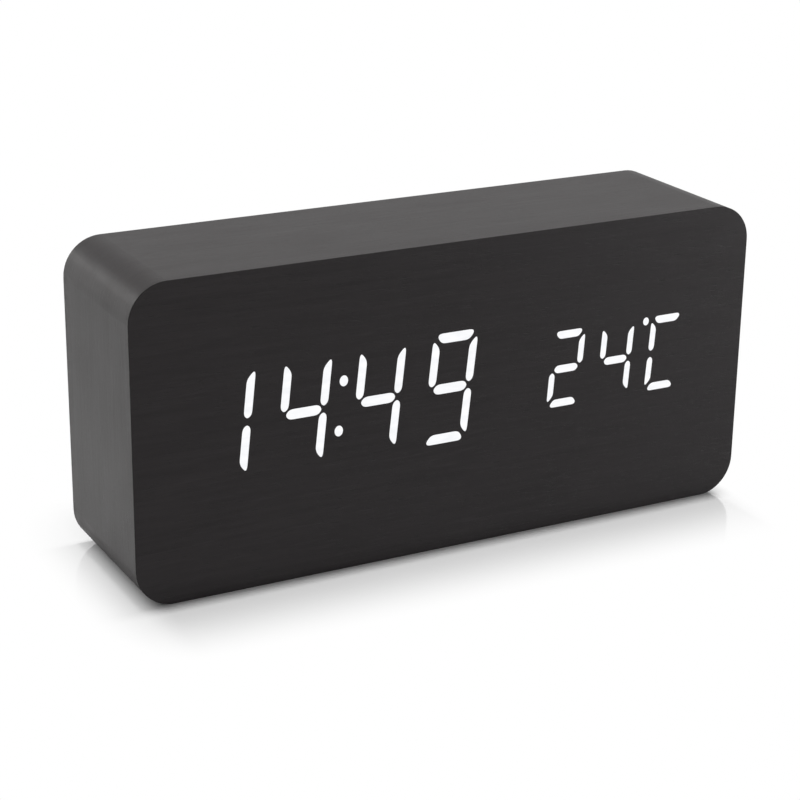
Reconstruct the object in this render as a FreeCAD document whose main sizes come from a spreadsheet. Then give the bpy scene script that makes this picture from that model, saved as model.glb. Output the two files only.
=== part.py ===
import FreeCAD, Part
import math
import os
import re
import Sketcher

# A block clock: a hollow MDF block wrapped in wood-grain film, with a segment display that shines
# through the front film, and a plastic back with a battery tray, three buttons and a power inlet.
# Lengths are in millimetres. X runs to the right seen from the front, Y to the back and Z up, and
# the origin is the middle of the face that the block stands on.

V = FreeCAD.Vector
doc = FreeCAD.newDocument("BlockClock")
sheet = doc.addObject("Spreadsheet::Sheet", "Sizes")

SIZES = {
    # the block
    "case_width": 150, "case_depth": 38, "case_height": 70, "case_corner": 8.5,
    "film_skin": 0.4, "case_wall": 7.6, "front_wall": 4, "hollow_corner": 3, "post_size": 6.5,
    # the back cover, let into the rear edge of the block
    "cover_ledge": 2.4, "cover_inset": 1.2, "cover_thickness": 2, "cover_gap": 0.3, "cover_corner": 6,
    "cover_screw_bite": 9, "cover_pilot_spare": 1,
    # screws, all of one size, with countersunk or flat heads
    "screw_shank": 2.2, "screw_clearance": 0.4, "screw_head": 4.8, "screw_head_height": 1.5,
    # time digits: middle of the group, spacing, and the size of a digit along its bar centres
    "display_rise": 2.6, "time_inset": 46.8, "time_pitch": 17.45, "time_tall": 22.9,
    "time_wide": 9.15, "time_upright": 1.9, "time_level": 2.3, "time_slant": 6,
    "colon_rise": 5.53, "colon_wide": 2.05, "colon_tall": 2.5,
    # temperature digits and the degree dot
    "temperature_inset": 34.5, "temperature_pitch": 13.03, "temperature_tall": 15.9,
    "temperature_wide": 7, "temperature_upright": 1.5, "temperature_level": 1.85,
    "temperature_slant": 4, "degree_reach": 5.75, "degree_wide": 1.6, "degree_tall": 1.95,
    "bar_gap": 0.45,
    # light guide and diffuser behind the window in the front wall
    "window_margin": 1.2, "diffuser_thickness": 0.2, "guide_gap": 0.3,
    "guide_lip": 2.2, "flange_thickness": 1.5, "board_standoff": 3.8,
    "ear_spread": 50, "ear_inset": 2.5, "ear_diameter": 6, "ear_screw_bite": 2.6,
    # display board
    "board_thickness": 1.6, "board_edge": 2.7, "board_side": 0.5, "board_post_gap": 1.5,
    "led_length": 2, "led_width": 1, "led_height": 0.6,
    # parts on the back of the display board, placed from the middle of the board
    "control_chip_x": 1, "control_chip_z": 7, "control_chip_leads": 14, "chip_width": 7.5,
    "chip_height": 2.3, "driver_chip_x": 1, "driver_chip_z": -9, "driver_chip_leads": 8,
    "lead_pitch": 1.27, "lead_end": 0.1,
    "lead_width": 0.42, "lead_thickness": 0.25, "lead_reach": 1.45,
    "crystal_x": 15, "crystal_z": 7, "crystal_diameter": 2, "crystal_length": 6,
    "coin_x": -26, "coin_z": 0, "coin_diameter": 20, "coin_thickness": 3.2, "coin_gap": 0.2,
    "holder_wall": 1.3, "holder_floor": 1,
    "buzzer_x": -47, "buzzer_z": 0, "buzzer_diameter": 12, "buzzer_height": 5.5, "buzzer_port": 2,
    "capacitor_x": 25, "capacitor_z": -8, "capacitor_diameter": 6.3, "capacitor_height": 5.4,
    "capacitor_base": 6.6, "capacitor_base_height": 0.8,
    "resistor_x": 20, "resistor_z": 14, "resistor_pitch": 3.4, "resistor_count": 8,
    "resistor_length": 2, "resistor_width": 1.25, "resistor_height": 0.5,
    "header_height": 5, "header_depth": 5.7, "header_wall": 0.8, "pin_size": 0.64, "pin_pitch": 2,
    "pin_height": 4,
    # battery tray, moulded with the back cover, and its four cells
    "cell_diameter": 10.5, "cell_length": 44.5, "cell_spacing": 0.6, "cell_side_gap": 0.35,
    "cell_seat": 0.2, "cell_headroom": 0.5, "nub_diameter": 3.8, "nub_length": 0.8,
    "contact_room": 6.5, "tray_floor": 1.5, "tray_wall": 2.7,
    "ridge_foot": 3.6, "ridge_height": 1.8,
    "plate_thickness": 0.4, "plate_reach": 8.5, "plate_width": 8.5,
    "tab_width": 3, "tab_gap": 0.1, "tab_proud": 0.8,
    "spring_thickness": 0.3, "spring_width": 5,
    # battery door with two hooks at its foot and a springy latch at its head
    "door_ledge": 1.5, "door_thickness": 1.8, "door_gap": 0.2, "door_corner": 1.5,
    "hook_spread": 15, "hook_width": 8, "hook_reach": 1, "hook_thickness": 1.2, "hook_root": 1.75,
    "hook_side_gap": 0.4, "hook_swing": 3.8,
    "latch_width": 9, "latch_leg": 1, "latch_loop": 1.65, "latch_depth": 5.2, "latch_bend": 1.1,
    "latch_catch": 0.3, "latch_room": 0.5, "notch_reach": 3.55, "notch_side_gap": 0.5,
    "grip_length": 14, "grip_width": 1, "grip_depth": 0.4, "grip_pitch": 2.2, "grip_count": 4,
    "grip_drop": 4,
    # push buttons on the back
    "button_x": 45, "button_pitch": 13, "cap_diameter": 6.6, "cap_gap": 0.2, "cap_proud": 1,
    "cap_flange": 8.8, "cap_flange_thickness": 1.1, "cap_flange_gap": 0.2,
    "rib_gap": 0.3, "rib_wall": 1, "rib_depth": 2.8,
    "switch_size": 6, "switch_height": 3.5, "switch_floor": 0.5, "plunger_size": 3,
    "plunger_gap": 0.2, "plunger_rise": 3.3, "button_travel": 0.5,
    "button_board_width": 12, "button_board_edge": 0.2, "clip_width": 5, "clip_thickness": 1.2,
    "clip_shoulder": 1.1, "clip_catch": 0.6, "clip_gap": 0.1, "clip_lip": 1.4,
    # power inlet: a small board in two rails, a micro socket and its regulator
    "inlet_x": -45, "inlet_drop": 15, "power_board_width": 14, "power_board_depth": 10.6,
    "power_board_thickness": 1.2, "rail_width": 2.4, "rail_height": 4.2, "rail_bite": 0.8,
    "rail_gap": 0.1, "rail_length": 7.8, "socket_width": 7.5, "socket_height": 2.6,
    "socket_depth": 5.6, "socket_inset": 0.2, "socket_wall": 0.3, "socket_bevel": 0.9,
    "socket_gap": 0.3, "tongue_width": 3.8, "tongue_thickness": 0.6, "tongue_length": 3.6,
    "regulator_width": 3.5, "regulator_length": 2.9, "regulator_height": 1.5,
    # temperature sensor behind its vents, sound sensor and the grille over the buzzer
    "sensor_bead": 2.4, "sensor_rise": 8.6, "sensor_lead": 0.5, "sensor_lead_gap": 1.3,
    "vent_length": 6, "vent_width": 1, "vent_pitch": 2.2, "vent_count": 3,
    "grille_rise": 2.5, "grille_length": 8, "grille_count": 4,
    "microphone_x": -45, "microphone_rise": 15, "microphone_diameter": 6,
    "microphone_thickness": 2.7, "microphone_hole": 1.5,
    "microphone_gap": 0.1,
    # cables between the boards, and their plugs
    "cable_thickness": 0.8, "cable_wire": 1.3, "plug_gap": 0.1, "plug_proud": 1.5, "plug_clear": 4.5,
    "plug_drop": 10, "plug_rise": 8, "microphone_drop": 2,
}
for row, (alias, amount) in enumerate(SIZES.items(), start=1):
    sheet.set(f"A{row}", alias)
    sheet.set(f"B{row}", str(amount))
    sheet.setAlias(f"B{row}", alias)
doc.recompute()


def num(formula):
    """The value that a formula of sheet sizes has now."""
    return float(sheet.evalExpression(formula))


def bind(thing, field, formula):
    """Tie one field of an object to a formula of sheet sizes."""
    thing.setExpression(field, re.sub(r"\b[a-z_]{3,}\b(?!\()", r"Sizes.\g<0>", formula))


# Places that several pieces share, as formulas of the sizes above
middle_z = "(case_height/2)"
wood_front = "(film_skin - case_depth/2)"
wood_back = "(case_depth/2 - film_skin)"
wood_wide = "(case_width - 2*film_skin)"
wood_tall = "(case_height - 2*film_skin)"
wood_corner = "(case_corner - film_skin)"
wall_back = f"({wood_front} + front_wall)"
cover_outer = "(case_depth/2 - cover_inset)"
cover_inner = f"({cover_outer} - cover_thickness)"
cell_pitch = "(cell_diameter + cell_spacing)"
tray_wide = "(cell_length + contact_room)"
tray_tall = f"(3*{cell_pitch} + cell_diameter + 2*cell_side_gap)"
recess_wide = f"({tray_wide} + 2*door_ledge)"
recess_tall = f"({tray_tall} + 2*door_ledge)"
latch_rise = f"({recess_tall}/2 - door_gap + latch_loop + latch_leg + latch_catch)"
# the walls thin where the battery door's latch needs the room
hollow_x = "(case_width/2 - film_skin - case_wall)"
hollow_z = f"max(case_height/2 - film_skin - case_wall; {latch_rise} + latch_room)"
opening_wide = f"(2*{hollow_x} + 2*cover_ledge)"
opening_tall = f"(2*{hollow_z} + 2*cover_ledge)"
opening_corner = "(cover_corner + cover_gap)"
post_x = f"({hollow_x} - post_size/2)"
post_z = f"({hollow_z} - post_size/2)"

display_z = f"({middle_z} + display_rise)"
MIDDLES = {"time": "(time_inset - case_width/2)", "temperature": "(case_width/2 - temperature_inset)"}
display_left = (f"({MIDDLES['time']} - 1.5*time_pitch - time_wide/2"
                " - tan(time_slant)*time_tall/2 - time_upright/2)")
display_right = (f"({MIDDLES['temperature']} + temperature_pitch + temperature_wide/2"
                 " + tan(temperature_slant)*temperature_tall/2 + temperature_upright/2)")
window_x = f"(({display_left} + {display_right})/2)"
window_wide = f"({display_right} - {display_left} + 2*window_margin)"
window_tall = "(time_tall + time_level + 2*window_margin)"
guide_front = f"({wood_front} + diffuser_thickness)"
board_front = f"({wall_back} + board_standoff)"
board_rear = f"({board_front} + board_thickness)"
ear_rise = f"({window_tall}/2 + ear_inset)"
ear_bore = "(screw_shank + screw_clearance)"

cell_y = f"({cover_inner} - cell_headroom - cell_diameter/2)"
tray_bed = f"({cell_y} - cell_diameter/2 - cell_seat)"
door_inner = f"({cover_outer} - door_thickness)"
door_foot = f"({middle_z} - {recess_tall}/2 + door_gap)"
door_head = f"({middle_z} + {recess_tall}/2 - door_gap)"

cap_hole = "(cap_diameter + 2*cap_gap)"
flange_top = f"({cover_inner} - cap_flange_gap)"
plunger_top = f"({flange_top} - cap_flange_thickness)"
switch_top = f"({plunger_top} - plunger_rise)"
button_board_rear = f"({switch_top} - switch_height)"
button_board_front = f"({button_board_rear} - board_thickness)"

button_board_tall = "(2*button_pitch + cap_flange + 2*rib_gap + 2*clip_shoulder + 2*button_board_edge)"
inlet_z = f"({middle_z} - inlet_drop)"
power_board_top = f"({inlet_z} + power_board_thickness/2)"
power_board_back = f"({cover_inner} - socket_inset)"
power_board_front = f"({power_board_back} - power_board_depth)"
socket_z = f"({power_board_top} + socket_height/2)"
socket_mouth = f"({cover_outer} - socket_inset)"
grille_z = f"({middle_z} + grille_rise)"
microphone_z = f"({middle_z} + microphone_rise)"
CORNERS = [(-1, -1), (-1, 1), (1, -1), (1, 1)]
EARS = [(-1, 1), (1, -1)]


def body(label, x="0", y="0", z="0"):
    """A sub-part built from sketches, in its place."""
    made = doc.addObject("PartDesign::Body", label)
    for axis, formula in zip("xyz", (x, y, z)):
        bind(made, f"Placement.Base.{axis}", formula)
    return made


def sketch(owner, name, plane="XZ_Plane", depth="0"):
    """A sketch on one of the body's own planes; one seen from the front lies at y = depth."""
    made = owner.newObject("Sketcher::SketchObject", name)
    support = next(part for part in owner.Origin.OriginFeatures if part.Role == plane)
    made.AttachmentSupport = [(support, "")]
    made.MapMode = "FlatFace"
    bind(made, "AttachmentOffset.Base.z", f"-({depth})" if plane == "XZ_Plane" else depth)
    return made


def measure(drawing, kind, formula, *points):
    """A sketch dimension that follows a formula."""
    index = drawing.addConstraint(Sketcher.Constraint(kind, *points, num(formula)))
    bind(drawing, f"Constraints[{index}]", formula)


def polygon(drawing, corners):
    """A closed outline of straight lines through corners given as pairs of formulas."""
    spots = [V(num(a), num(b), 0) for a, b in corners]
    count = len(spots)
    lines = [drawing.addGeometry(Part.LineSegment(spots[k], spots[(k + 1) % count]), False)
             for k in range(count)]
    for k, (a, b) in enumerate(corners):
        drawing.addConstraint(Sketcher.Constraint("Coincident", lines[k - 1], 2, lines[k], 1))
        measure(drawing, "DistanceX", a, -1, 1, lines[k], 1)
        measure(drawing, "DistanceY", b, -1, 1, lines[k], 1)


def rectangle(drawing, left, low, right, high):
    """A sharp-cornered rectangle between two corners."""
    polygon(drawing, [(left, low), (right, low), (right, high), (left, high)])


def centred(drawing, x, z, wide, tall):
    """A sharp-cornered rectangle about (x, z)."""
    rectangle(drawing, f"{x} - {wide}/2", f"{z} - {tall}/2", f"{x} + {wide}/2", f"{z} + {tall}/2")


def rounded(drawing, x, z, wide, tall, radius):
    """A rectangle about (x, z) with round corners."""
    cx, cz, half_x, half_z, turn = (num(f) for f in (x, z, f"{wide}/2", f"{tall}/2", radius))
    centres = [(cx + i*(half_x - turn), cz + k*(half_z - turn))
               for i, k in ((-1, -1), (1, -1), (1, 1), (-1, 1))]
    arcs = []
    for quarter, (a, b) in enumerate(centres, start=2):
        ring = Part.Circle(V(a, b, 0), V(0, 0, 1), turn)
        start = quarter*math.pi/2
        arcs.append(drawing.addGeometry(Part.ArcOfCircle(ring, start, start + math.pi/2), False))
    for k in range(4):
        begin = drawing.Geometry[arcs[k]].EndPoint
        end = drawing.Geometry[arcs[(k + 1) % 4]].StartPoint
        side = drawing.addGeometry(Part.LineSegment(begin, end), False)
        drawing.addConstraint([
            Sketcher.Constraint("Tangent", arcs[k], 2, side, 1),
            Sketcher.Constraint("Tangent", side, 2, arcs[(k + 1) % 4], 1),
            Sketcher.Constraint("Vertical" if k % 2 else "Horizontal", side)])
        if k:
            drawing.addConstraint(Sketcher.Constraint("Equal", arcs[0], arcs[k]))
    measure(drawing, "Radius", radius, arcs[0])
    measure(drawing, "DistanceX", f"{x} - {wide}/2 + {radius}", -1, 1, arcs[0], 3)
    measure(drawing, "DistanceY", f"{z} - {tall}/2 + {radius}", -1, 1, arcs[0], 3)
    measure(drawing, "DistanceX", f"{wide} - 2*{radius}", arcs[0], 3, arcs[1], 3)
    measure(drawing, "DistanceY", f"{tall} - 2*{radius}", arcs[1], 3, arcs[2], 3)


def circle(drawing, x, z, diameter):
    """A circle about (x, z)."""
    ring = drawing.addGeometry(Part.Circle(V(num(x), num(z), 0), V(0, 0, 1), num(diameter)/2), False)
    measure(drawing, "DistanceX", x, -1, 1, ring, 3)
    measure(drawing, "DistanceY", z, -1, 1, ring, 3)
    measure(drawing, "Diameter", diameter, ring)


def pad(owner, name, outline, length, both_ways=False):
    """Material from a sketch towards the back, or half each way."""
    made = owner.newObject("PartDesign::Pad", name)
    made.Profile = outline
    if both_ways:
        made.SideType = "Symmetric"
    else:
        made.Reversed = True
    bind(made, "Length", length)
    return made


def pocket(owner, name, outline, length):
    """A cut from a sketch towards the back."""
    made = owner.newObject("PartDesign::Pocket", name)
    made.Profile = outline
    bind(made, "Length", length)
    return made


def pattern(owner, name, feature, axis, span, count):
    """Equal copies of a feature in a row, the first and last a span apart."""
    made = owner.newObject("PartDesign::LinearPattern", name)
    made.Originals = [feature]
    made.Direction = (next(p for p in owner.Origin.OriginFeatures if p.Role == axis), [""])
    bind(made, "Length", span)
    bind(made, "Occurrences", count)
    owner.Tip = made
    return made


def turned(owner, name, corners):
    """A round piece: a half outline of (radius, y) corners, turned about the body's Y axis."""
    half = sketch(owner, f"{name}_half", "XY_Plane")
    polygon(half, corners)
    made = owner.newObject("PartDesign::Revolution", name)
    made.Profile = half
    made.ReferenceAxis = (half, ["V_Axis"])
    made.Angle = 360
    return made


def group(label, solids):
    """One node of like pieces, each a solid of its own."""
    made = doc.addObject("Part::Feature", label)
    made.Shape = Part.Compound(solids)
    return made


def box(left, front, low, wide, deep, tall):
    """A plain block from its lowest corner."""
    return Part.makeBox(wide, deep, tall, V(left, front, low))


def rod(x, y, z, diameter, length):
    """A round bar that runs towards the back."""
    return Part.makeCylinder(diameter/2, length, V(x, y, z), V(0, 1, 0))


def strip(path, thickness, start, width, upright=True):
    """A bent strip: its path seen from above, or from the side, made thick and then wide."""
    spots = [V(a, b, start) for a, b in path] if upright else [V(start, b, a) for a, b in path]
    face = Part.makePolygon(spots).makeOffset2D(thickness, 2, True, True, False)
    return face.extrude(V(0, 0, width) if upright else V(width, 0, 0))


# ---- Display bars -------------------------------------------------------------------------------
# A bar is seven-segment style: a at the top, then b, c, d, e, f clockwise, and g in the middle.
SEGMENTS = {
    "0": "abcdef", "1": "bc", "2": "abdeg", "3": "abcdg", "4": "bcfg", "5": "acdfg", "6": "acdefg",
    "7": "abc", "8": "abcdefg", "9": "abcdfg", "C": "adef"}
TIME_SHOWN = "1449"
TEMPERATURE_SHOWN = "24C"


def bar_outline(kind, letter):
    """Corners of one bar about the middle of its digit, before the digit is slanted."""
    half, top, upright, level = (num(f) for f in (
        f"{kind}_wide/2", f"{kind}_tall/2", f"{kind}_upright", f"{kind}_level"))
    gap = num("bar_gap")
    if letter in "ad":
        right = [(half - gap, top + level/2), (half - gap/4, top + level/8),
                 (half - upright/2 - gap*0.6, top - level/2)]
        corners = [(-u, v) for u, v in right] + right[::-1]
    elif letter == "g":
        tip = half - gap*0.7
        shoulder = tip - level*0.38
        corners = [(-tip, 0), (-shoulder, level/2), (shoulder, level/2),
                   (tip, 0), (shoulder, -level/2), (-shoulder, -level/2)]
    else:
        foot = gap*1.3
        corners = [(half, foot), (half - upright/2, foot + upright*0.45),
                   (half - upright/2, top - level/2 - upright/2 - gap*0.4),
                   (half + upright/4, top - gap*1.2), (half + upright/2, top - level/2 + gap/4),
                   (half + upright/2, foot + upright*0.45)]
    across = -1 if letter in "ef" else 1
    upwards = -1 if letter in "cde" else 1
    return [(u*across, v*upwards) for u, v in corners]


def digit_centres(kind, count):
    """Middles of the digits of one group, left to right."""
    return [num(f"{MIDDLES[kind]} + ({place} - ({count} - 1)/2)*{kind}_pitch") for place in range(count)]


def slanted(kind, centre, corners):
    """Corners of a bar in its place on the display."""
    lean = math.tan(math.radians(num(f"{kind}_slant")))
    return [(centre + u + v*lean, num(display_z) + v) for u, v in corners]


def prism(corners, front, depth):
    """An upright outline given depth towards the back."""
    spots = [V(x, front, z) for x, z in corners]
    return Part.Face(Part.makePolygon(spots + spots[:1])).extrude(V(0, depth, 0))


def bars(kind, letters, front, depth):
    """Bars of one group of digits; letters names the bars of each digit."""
    return [prism(slanted(kind, centre, bar_outline(kind, letter)), front, depth)
            for centre, chosen in zip(digit_centres(kind, len(letters)), letters)
            for letter in chosen]


def dot(x, z, wide, tall, front, depth):
    """An oval dot of the display, its rim in sixteen short sides."""
    turns = [math.radians(360*k/16) for k in range(16)]
    return prism([(x + wide/2*math.sin(t), z + tall/2*math.cos(t)) for t in turns], front, depth)


def colon(front, depth):
    """The two dots between the hours and the minutes."""
    rise = num("colon_rise")
    spots = slanted("time", num(MIDDLES["time"]), [(0, rise), (0, -rise)])
    return [dot(x, z, num("colon_wide"), num("colon_tall"), front, depth) for x, z in spots]


def degree(front, depth):
    """The dot before the last letter, level with its top bar."""
    last = digit_centres("temperature", len(TEMPERATURE_SHOWN))[-1]
    spot = slanted("temperature", last, [(-num("degree_reach"), num("temperature_tall/2"))])[0]
    return [dot(*spot, num("degree_wide"), num("degree_tall"), front, depth)]


skin_front, skin = num("-case_depth/2"), num("film_skin")
lit_time = group("lit_time_segments",
                 bars("time", [SEGMENTS[c] for c in TIME_SHOWN], skin_front, skin))
lit_colon = group("lit_colon", colon(skin_front, skin))
lit_temperature = group("lit_temperature_segments",
                        bars("temperature", [SEGMENTS[c] for c in TEMPERATURE_SHOWN], skin_front, skin))
lit_degree = group("lit_degree_dot", degree(skin_front, skin))

# ---- The block: MDF body and the film on its four faces -----------------------------------------
case = body("case_body")
block = sketch(case, "block_outline", depth=wood_front)
rounded(block, "0", middle_z, wood_wide, wood_tall, wood_corner)
pad(case, "block", block, "case_depth - 2*film_skin")
hollow = sketch(case, "hollow_outline", depth=wall_back)
rounded(hollow, "0", middle_z, f"(2*{hollow_x})", f"(2*{hollow_z})", "hollow_corner")
pocket(case, "hollow", hollow, f"{wood_back} - {wall_back}")
posts = sketch(case, "post_outline", depth=wall_back)
for side, end in CORNERS:
    rectangle(posts, f"{side}*({post_x} - post_size/2)", f"{middle_z} + {end}*({post_z} - post_size/2)",
              f"{side}*({hollow_x} + film_skin)", f"{middle_z} + {end}*({hollow_z} + film_skin)")
pad(case, "posts", posts, f"{cover_inner} - {wall_back}")
rebate = sketch(case, "rebate_outline", depth=cover_inner)
rounded(rebate, "0", middle_z, opening_wide, opening_tall, opening_corner)
pocket(case, "rebate", rebate, f"{wood_back} - {cover_inner}")
window = sketch(case, "window_outline", depth=wood_front)
centred(window, window_x, display_z, window_wide, window_tall)
pocket(case, "window", window, "front_wall")
ear_pilots = sketch(case, "ear_pilot_outline", depth=f"{wall_back} - ear_screw_bite")
post_pilots = sketch(case, "post_pilot_outline",
                     depth=f"{cover_inner} - cover_screw_bite - cover_pilot_spare")
for side, end in EARS:
    circle(ear_pilots, f"{side}*ear_spread", f"{display_z} + {end}*{ear_rise}", "screw_shank")
for side, end in CORNERS:
    circle(post_pilots, f"{side}*{post_x}", f"{middle_z} + {end}*{post_z}", "screw_shank")
pocket(case, "ear_pilots", ear_pilots, "ear_screw_bite")
pocket(case, "post_pilots", post_pilots, "cover_screw_bite + cover_pilot_spare")

band = body("band_veneer")
band_outline = sketch(band, "band_outline", depth=wood_front)
rounded(band_outline, "0", middle_z, "case_width", "case_height", "case_corner")
rounded(band_outline, "0", middle_z, wood_wide, wood_tall, wood_corner)
pad(band, "band", band_outline, "case_depth - 2*film_skin")

front_sheet = body("front_sheet")
front_outline = sketch(front_sheet, "front_outline", depth="-case_depth/2")
rounded(front_outline, "0", middle_z, "case_width", "case_height", "case_corner")
pad(front_sheet, "front", front_outline, "film_skin")
lit_areas = group("lit_areas", [area for lit in (lit_time, lit_colon, lit_temperature, lit_degree)
                                for area in lit.Shape.Solids])
front_veneer = doc.addObject("Part::Cut", "front_veneer")
front_veneer.Base = front_sheet
front_veneer.Tool = lit_areas

back_veneer = body("back_veneer")
back_outline = sketch(back_veneer, "back_outline", depth=wood_back)
rounded(back_outline, "0", middle_z, "case_width", "case_height", "case_corner")
rounded(back_outline, "0", middle_z, opening_wide, opening_tall, opening_corner)
pad(back_veneer, "back", back_outline, "film_skin")

# ---- Display: diffuser, light guide, board and its lights ---------------------------------------
diffuser = body("diffuser_film")
diffuser_outline = sketch(diffuser, "diffuser_outline", depth=wood_front)
centred(diffuser_outline, window_x, display_z, f"({window_wide} - 2*guide_gap)",
        f"({window_tall} - 2*guide_gap)")
pad(diffuser, "diffuser", diffuser_outline, "diffuser_thickness")

guide = body("guide_block")
guide_boss = sketch(guide, "guide_boss_outline", depth=guide_front)
centred(guide_boss, window_x, display_z, f"({window_wide} - 2*guide_gap)",
        f"({window_tall} - 2*guide_gap)")
pad(guide, "guide_boss", guide_boss, f"{board_front} - {guide_front}")
guide_flange = sketch(guide, "guide_flange_outline", depth=wall_back)
centred(guide_flange, window_x, display_z, f"({window_wide} + 2*guide_lip)",
        f"({window_tall} + 2*guide_lip)")
pad(guide, "guide_flange", guide_flange, "flange_thickness")
guide_ears = sketch(guide, "guide_ear_outline", depth=wall_back)
ear_bores = sketch(guide, "ear_bore_outline", depth=wall_back)
for side, end in EARS:
    circle(guide_ears, f"{side}*ear_spread", f"{display_z} + {end}*{ear_rise}", "ear_diameter")
    circle(ear_bores, f"{side}*ear_spread", f"{display_z} + {end}*{ear_rise}", ear_bore)
pad(guide, "guide_ears", guide_ears, "board_standoff")
pocket(guide, "ear_bores", ear_bores, "board_standoff")
well_front = num(guide_front)
well_depth = num(f"{board_front} - {guide_front}")
wells = group("light_wells", bars("time", ["abcdefg"]*len(TIME_SHOWN), well_front, well_depth)
              + bars("temperature", ["abcdefg"]*len(TEMPERATURE_SHOWN), well_front, well_depth)
              + colon(well_front, well_depth) + degree(well_front, well_depth))
light_guide = doc.addObject("Part::Cut", "light_guide")
light_guide.Base = guide
light_guide.Tool = wells

board = body("display_board")
board_top = f"({ear_rise} + board_edge)"
board_left = f"({window_x} - {window_wide}/2 - board_side)"
board_right = f"({window_x} + {window_wide}/2 + board_side)"
board_cut = (f"max(1; {display_z} + {board_top} - {middle_z} + max(-{board_left}; {board_right})"
             f" - {post_x} - {post_z} + post_size + board_post_gap)")
board_outline = sketch(board, "board_outline", depth=board_front)
polygon(board_outline, [
    (f"{board_left} + {board_cut}", f"{display_z} - {board_top}"),
    (f"{board_right} - {board_cut}", f"{display_z} - {board_top}"),
    (board_right, f"{display_z} - {board_top} + {board_cut}"),
    (board_right, f"{display_z} + {board_top} - {board_cut}"),
    (f"{board_right} - {board_cut}", f"{display_z} + {board_top}"),
    (f"{board_left} + {board_cut}", f"{display_z} + {board_top}"),
    (board_left, f"{display_z} + {board_top} - {board_cut}"),
    (board_left, f"{display_z} - {board_top} + {board_cut}")])
pad(board, "board", board_outline, "board_thickness")
board_holes = sketch(board, "board_hole_outline", depth=board_front)
for side, end in EARS:
    circle(board_holes, f"{side}*ear_spread", f"{display_z} + {end}*{ear_rise}", ear_bore)
pocket(board, "board_holes", board_holes, "board_thickness")


def light(x, z, wide, tall):
    """One light on the front of the board."""
    wide, tall, high = num(wide), num(tall), num("led_height")
    return box(x - wide/2, num(board_front) - high, z - tall/2, wide, high, tall)


def lights(kind, count):
    """A small light in the middle of each bar of a group of digits, on the front of the board."""
    made = []
    for centre in digit_centres(kind, count):
        for letter in "abcdefg":
            corners = bar_outline(kind, letter)
            middle = [sum(spot[k] for spot in corners)/len(corners) for k in (0, 1)]
            x, z = slanted(kind, centre, [middle])[0]
            sides = ["led_length", "led_width"]
            made.append(light(x, z, *(sides if letter in "adg" else sides[::-1])))
    return made


dot_lights = []
for spot in colon(0, 1) + degree(0, 1):
    middle = spot.BoundBox.Center
    dot_lights.append(light(middle.x, middle.z, "led_width", "led_width"))
leds = group("segment_leds", lights("time", len(TIME_SHOWN))
             + lights("temperature", len(TEMPERATURE_SHOWN)) + dot_lights)


def screw(x, y, z, length, sunk=False):
    """A plain screw into the front, its head standing on y or, when sunk, coned and flush with y."""
    head, tall, shank = num("screw_head"), num("screw_head_height"), num("screw_shank")
    if sunk:
        profile = [(0, 0), (head/2, 0), (shank/2, (shank - head)/2), (shank/2, -length), (0, -length)]
    else:
        profile = [(0, tall), (head/2, tall), (head/2, 0), (shank/2, 0), (shank/2, -length), (0, -length)]
    spots = [V(x + radius, y + height, z) for radius, height in profile]
    return Part.Face(Part.makePolygon(spots + spots[:1])).revolve(V(x, y, z), V(0, 1, 0), 360)


board_screws = group("board_screws", [
    screw(side*num("ear_spread"), num(board_rear), num(f"{display_z} + {end}*{ear_rise}"),
          num(f"{board_rear} - {wall_back} + ear_screw_bite"))
    for side, end in EARS])

# ---- Parts on the back of the display board -----------------------------------------------------
def chip(label):
    """A moulded chip with bevelled long edges, lying along X."""
    made = body(label, f"{label}_x", board_rear, f"{display_z} + {label}_z")
    side = sketch(made, f"{label}_side", "YZ_Plane")
    polygon(side, [("lead_thickness", "-chip_width/2"), ("chip_height/2", "-chip_width/2"),
                   ("chip_height", "-chip_width/2 + chip_height/4"),
                   ("chip_height", "chip_width/2 - chip_height/4"),
                   ("chip_height/2", "chip_width/2"), ("lead_thickness", "chip_width/2")])
    pad(made, f"{label}_block", side, f"{label}_leads*lead_pitch + 2*lead_end", both_ways=True)
    return made


def chip_leads(label):
    """Bent leads along both sides of a chip."""
    made = []
    thick, wide, reach = num("lead_thickness"), num("lead_width"), num("lead_reach")
    half, knee, rear = num("chip_width/2"), num("chip_height/2"), num(board_rear)
    count = int(num(f"{label}_leads"))
    for place in range(count):
        left = num(f"{label}_x") + (place - (count - 1)/2)*num("lead_pitch") - wide/2
        for side in (-1, 1):
            path = [(half, knee), (half + reach*0.4, knee), (half + reach*0.4, 0), (half + reach, 0)]
            bent = strip([(side*a, b) for a, b in path], side*thick, 0, wide, upright=False)
            low = bent.BoundBox.YMin
            bent.translate(V(left, rear - low, num(f"{display_z} + {label}_z")))
            made.append(bent)
    return made


control_chip = chip("control_chip")
driver_chip = chip("driver_chip")
leads = group("chip_leads", chip_leads("control_chip") + chip_leads("driver_chip"))

crystal = doc.addObject("Part::Cylinder", "clock_crystal")
bind(crystal, "Radius", "crystal_diameter/2")
bind(crystal, "Height", "crystal_length")
bind(crystal, "Placement.Base.x", "crystal_x")
bind(crystal, "Placement.Base.y", f"{board_rear} + crystal_diameter/2")
bind(crystal, "Placement.Base.z", f"{display_z} + crystal_z - crystal_length/2")

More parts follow.
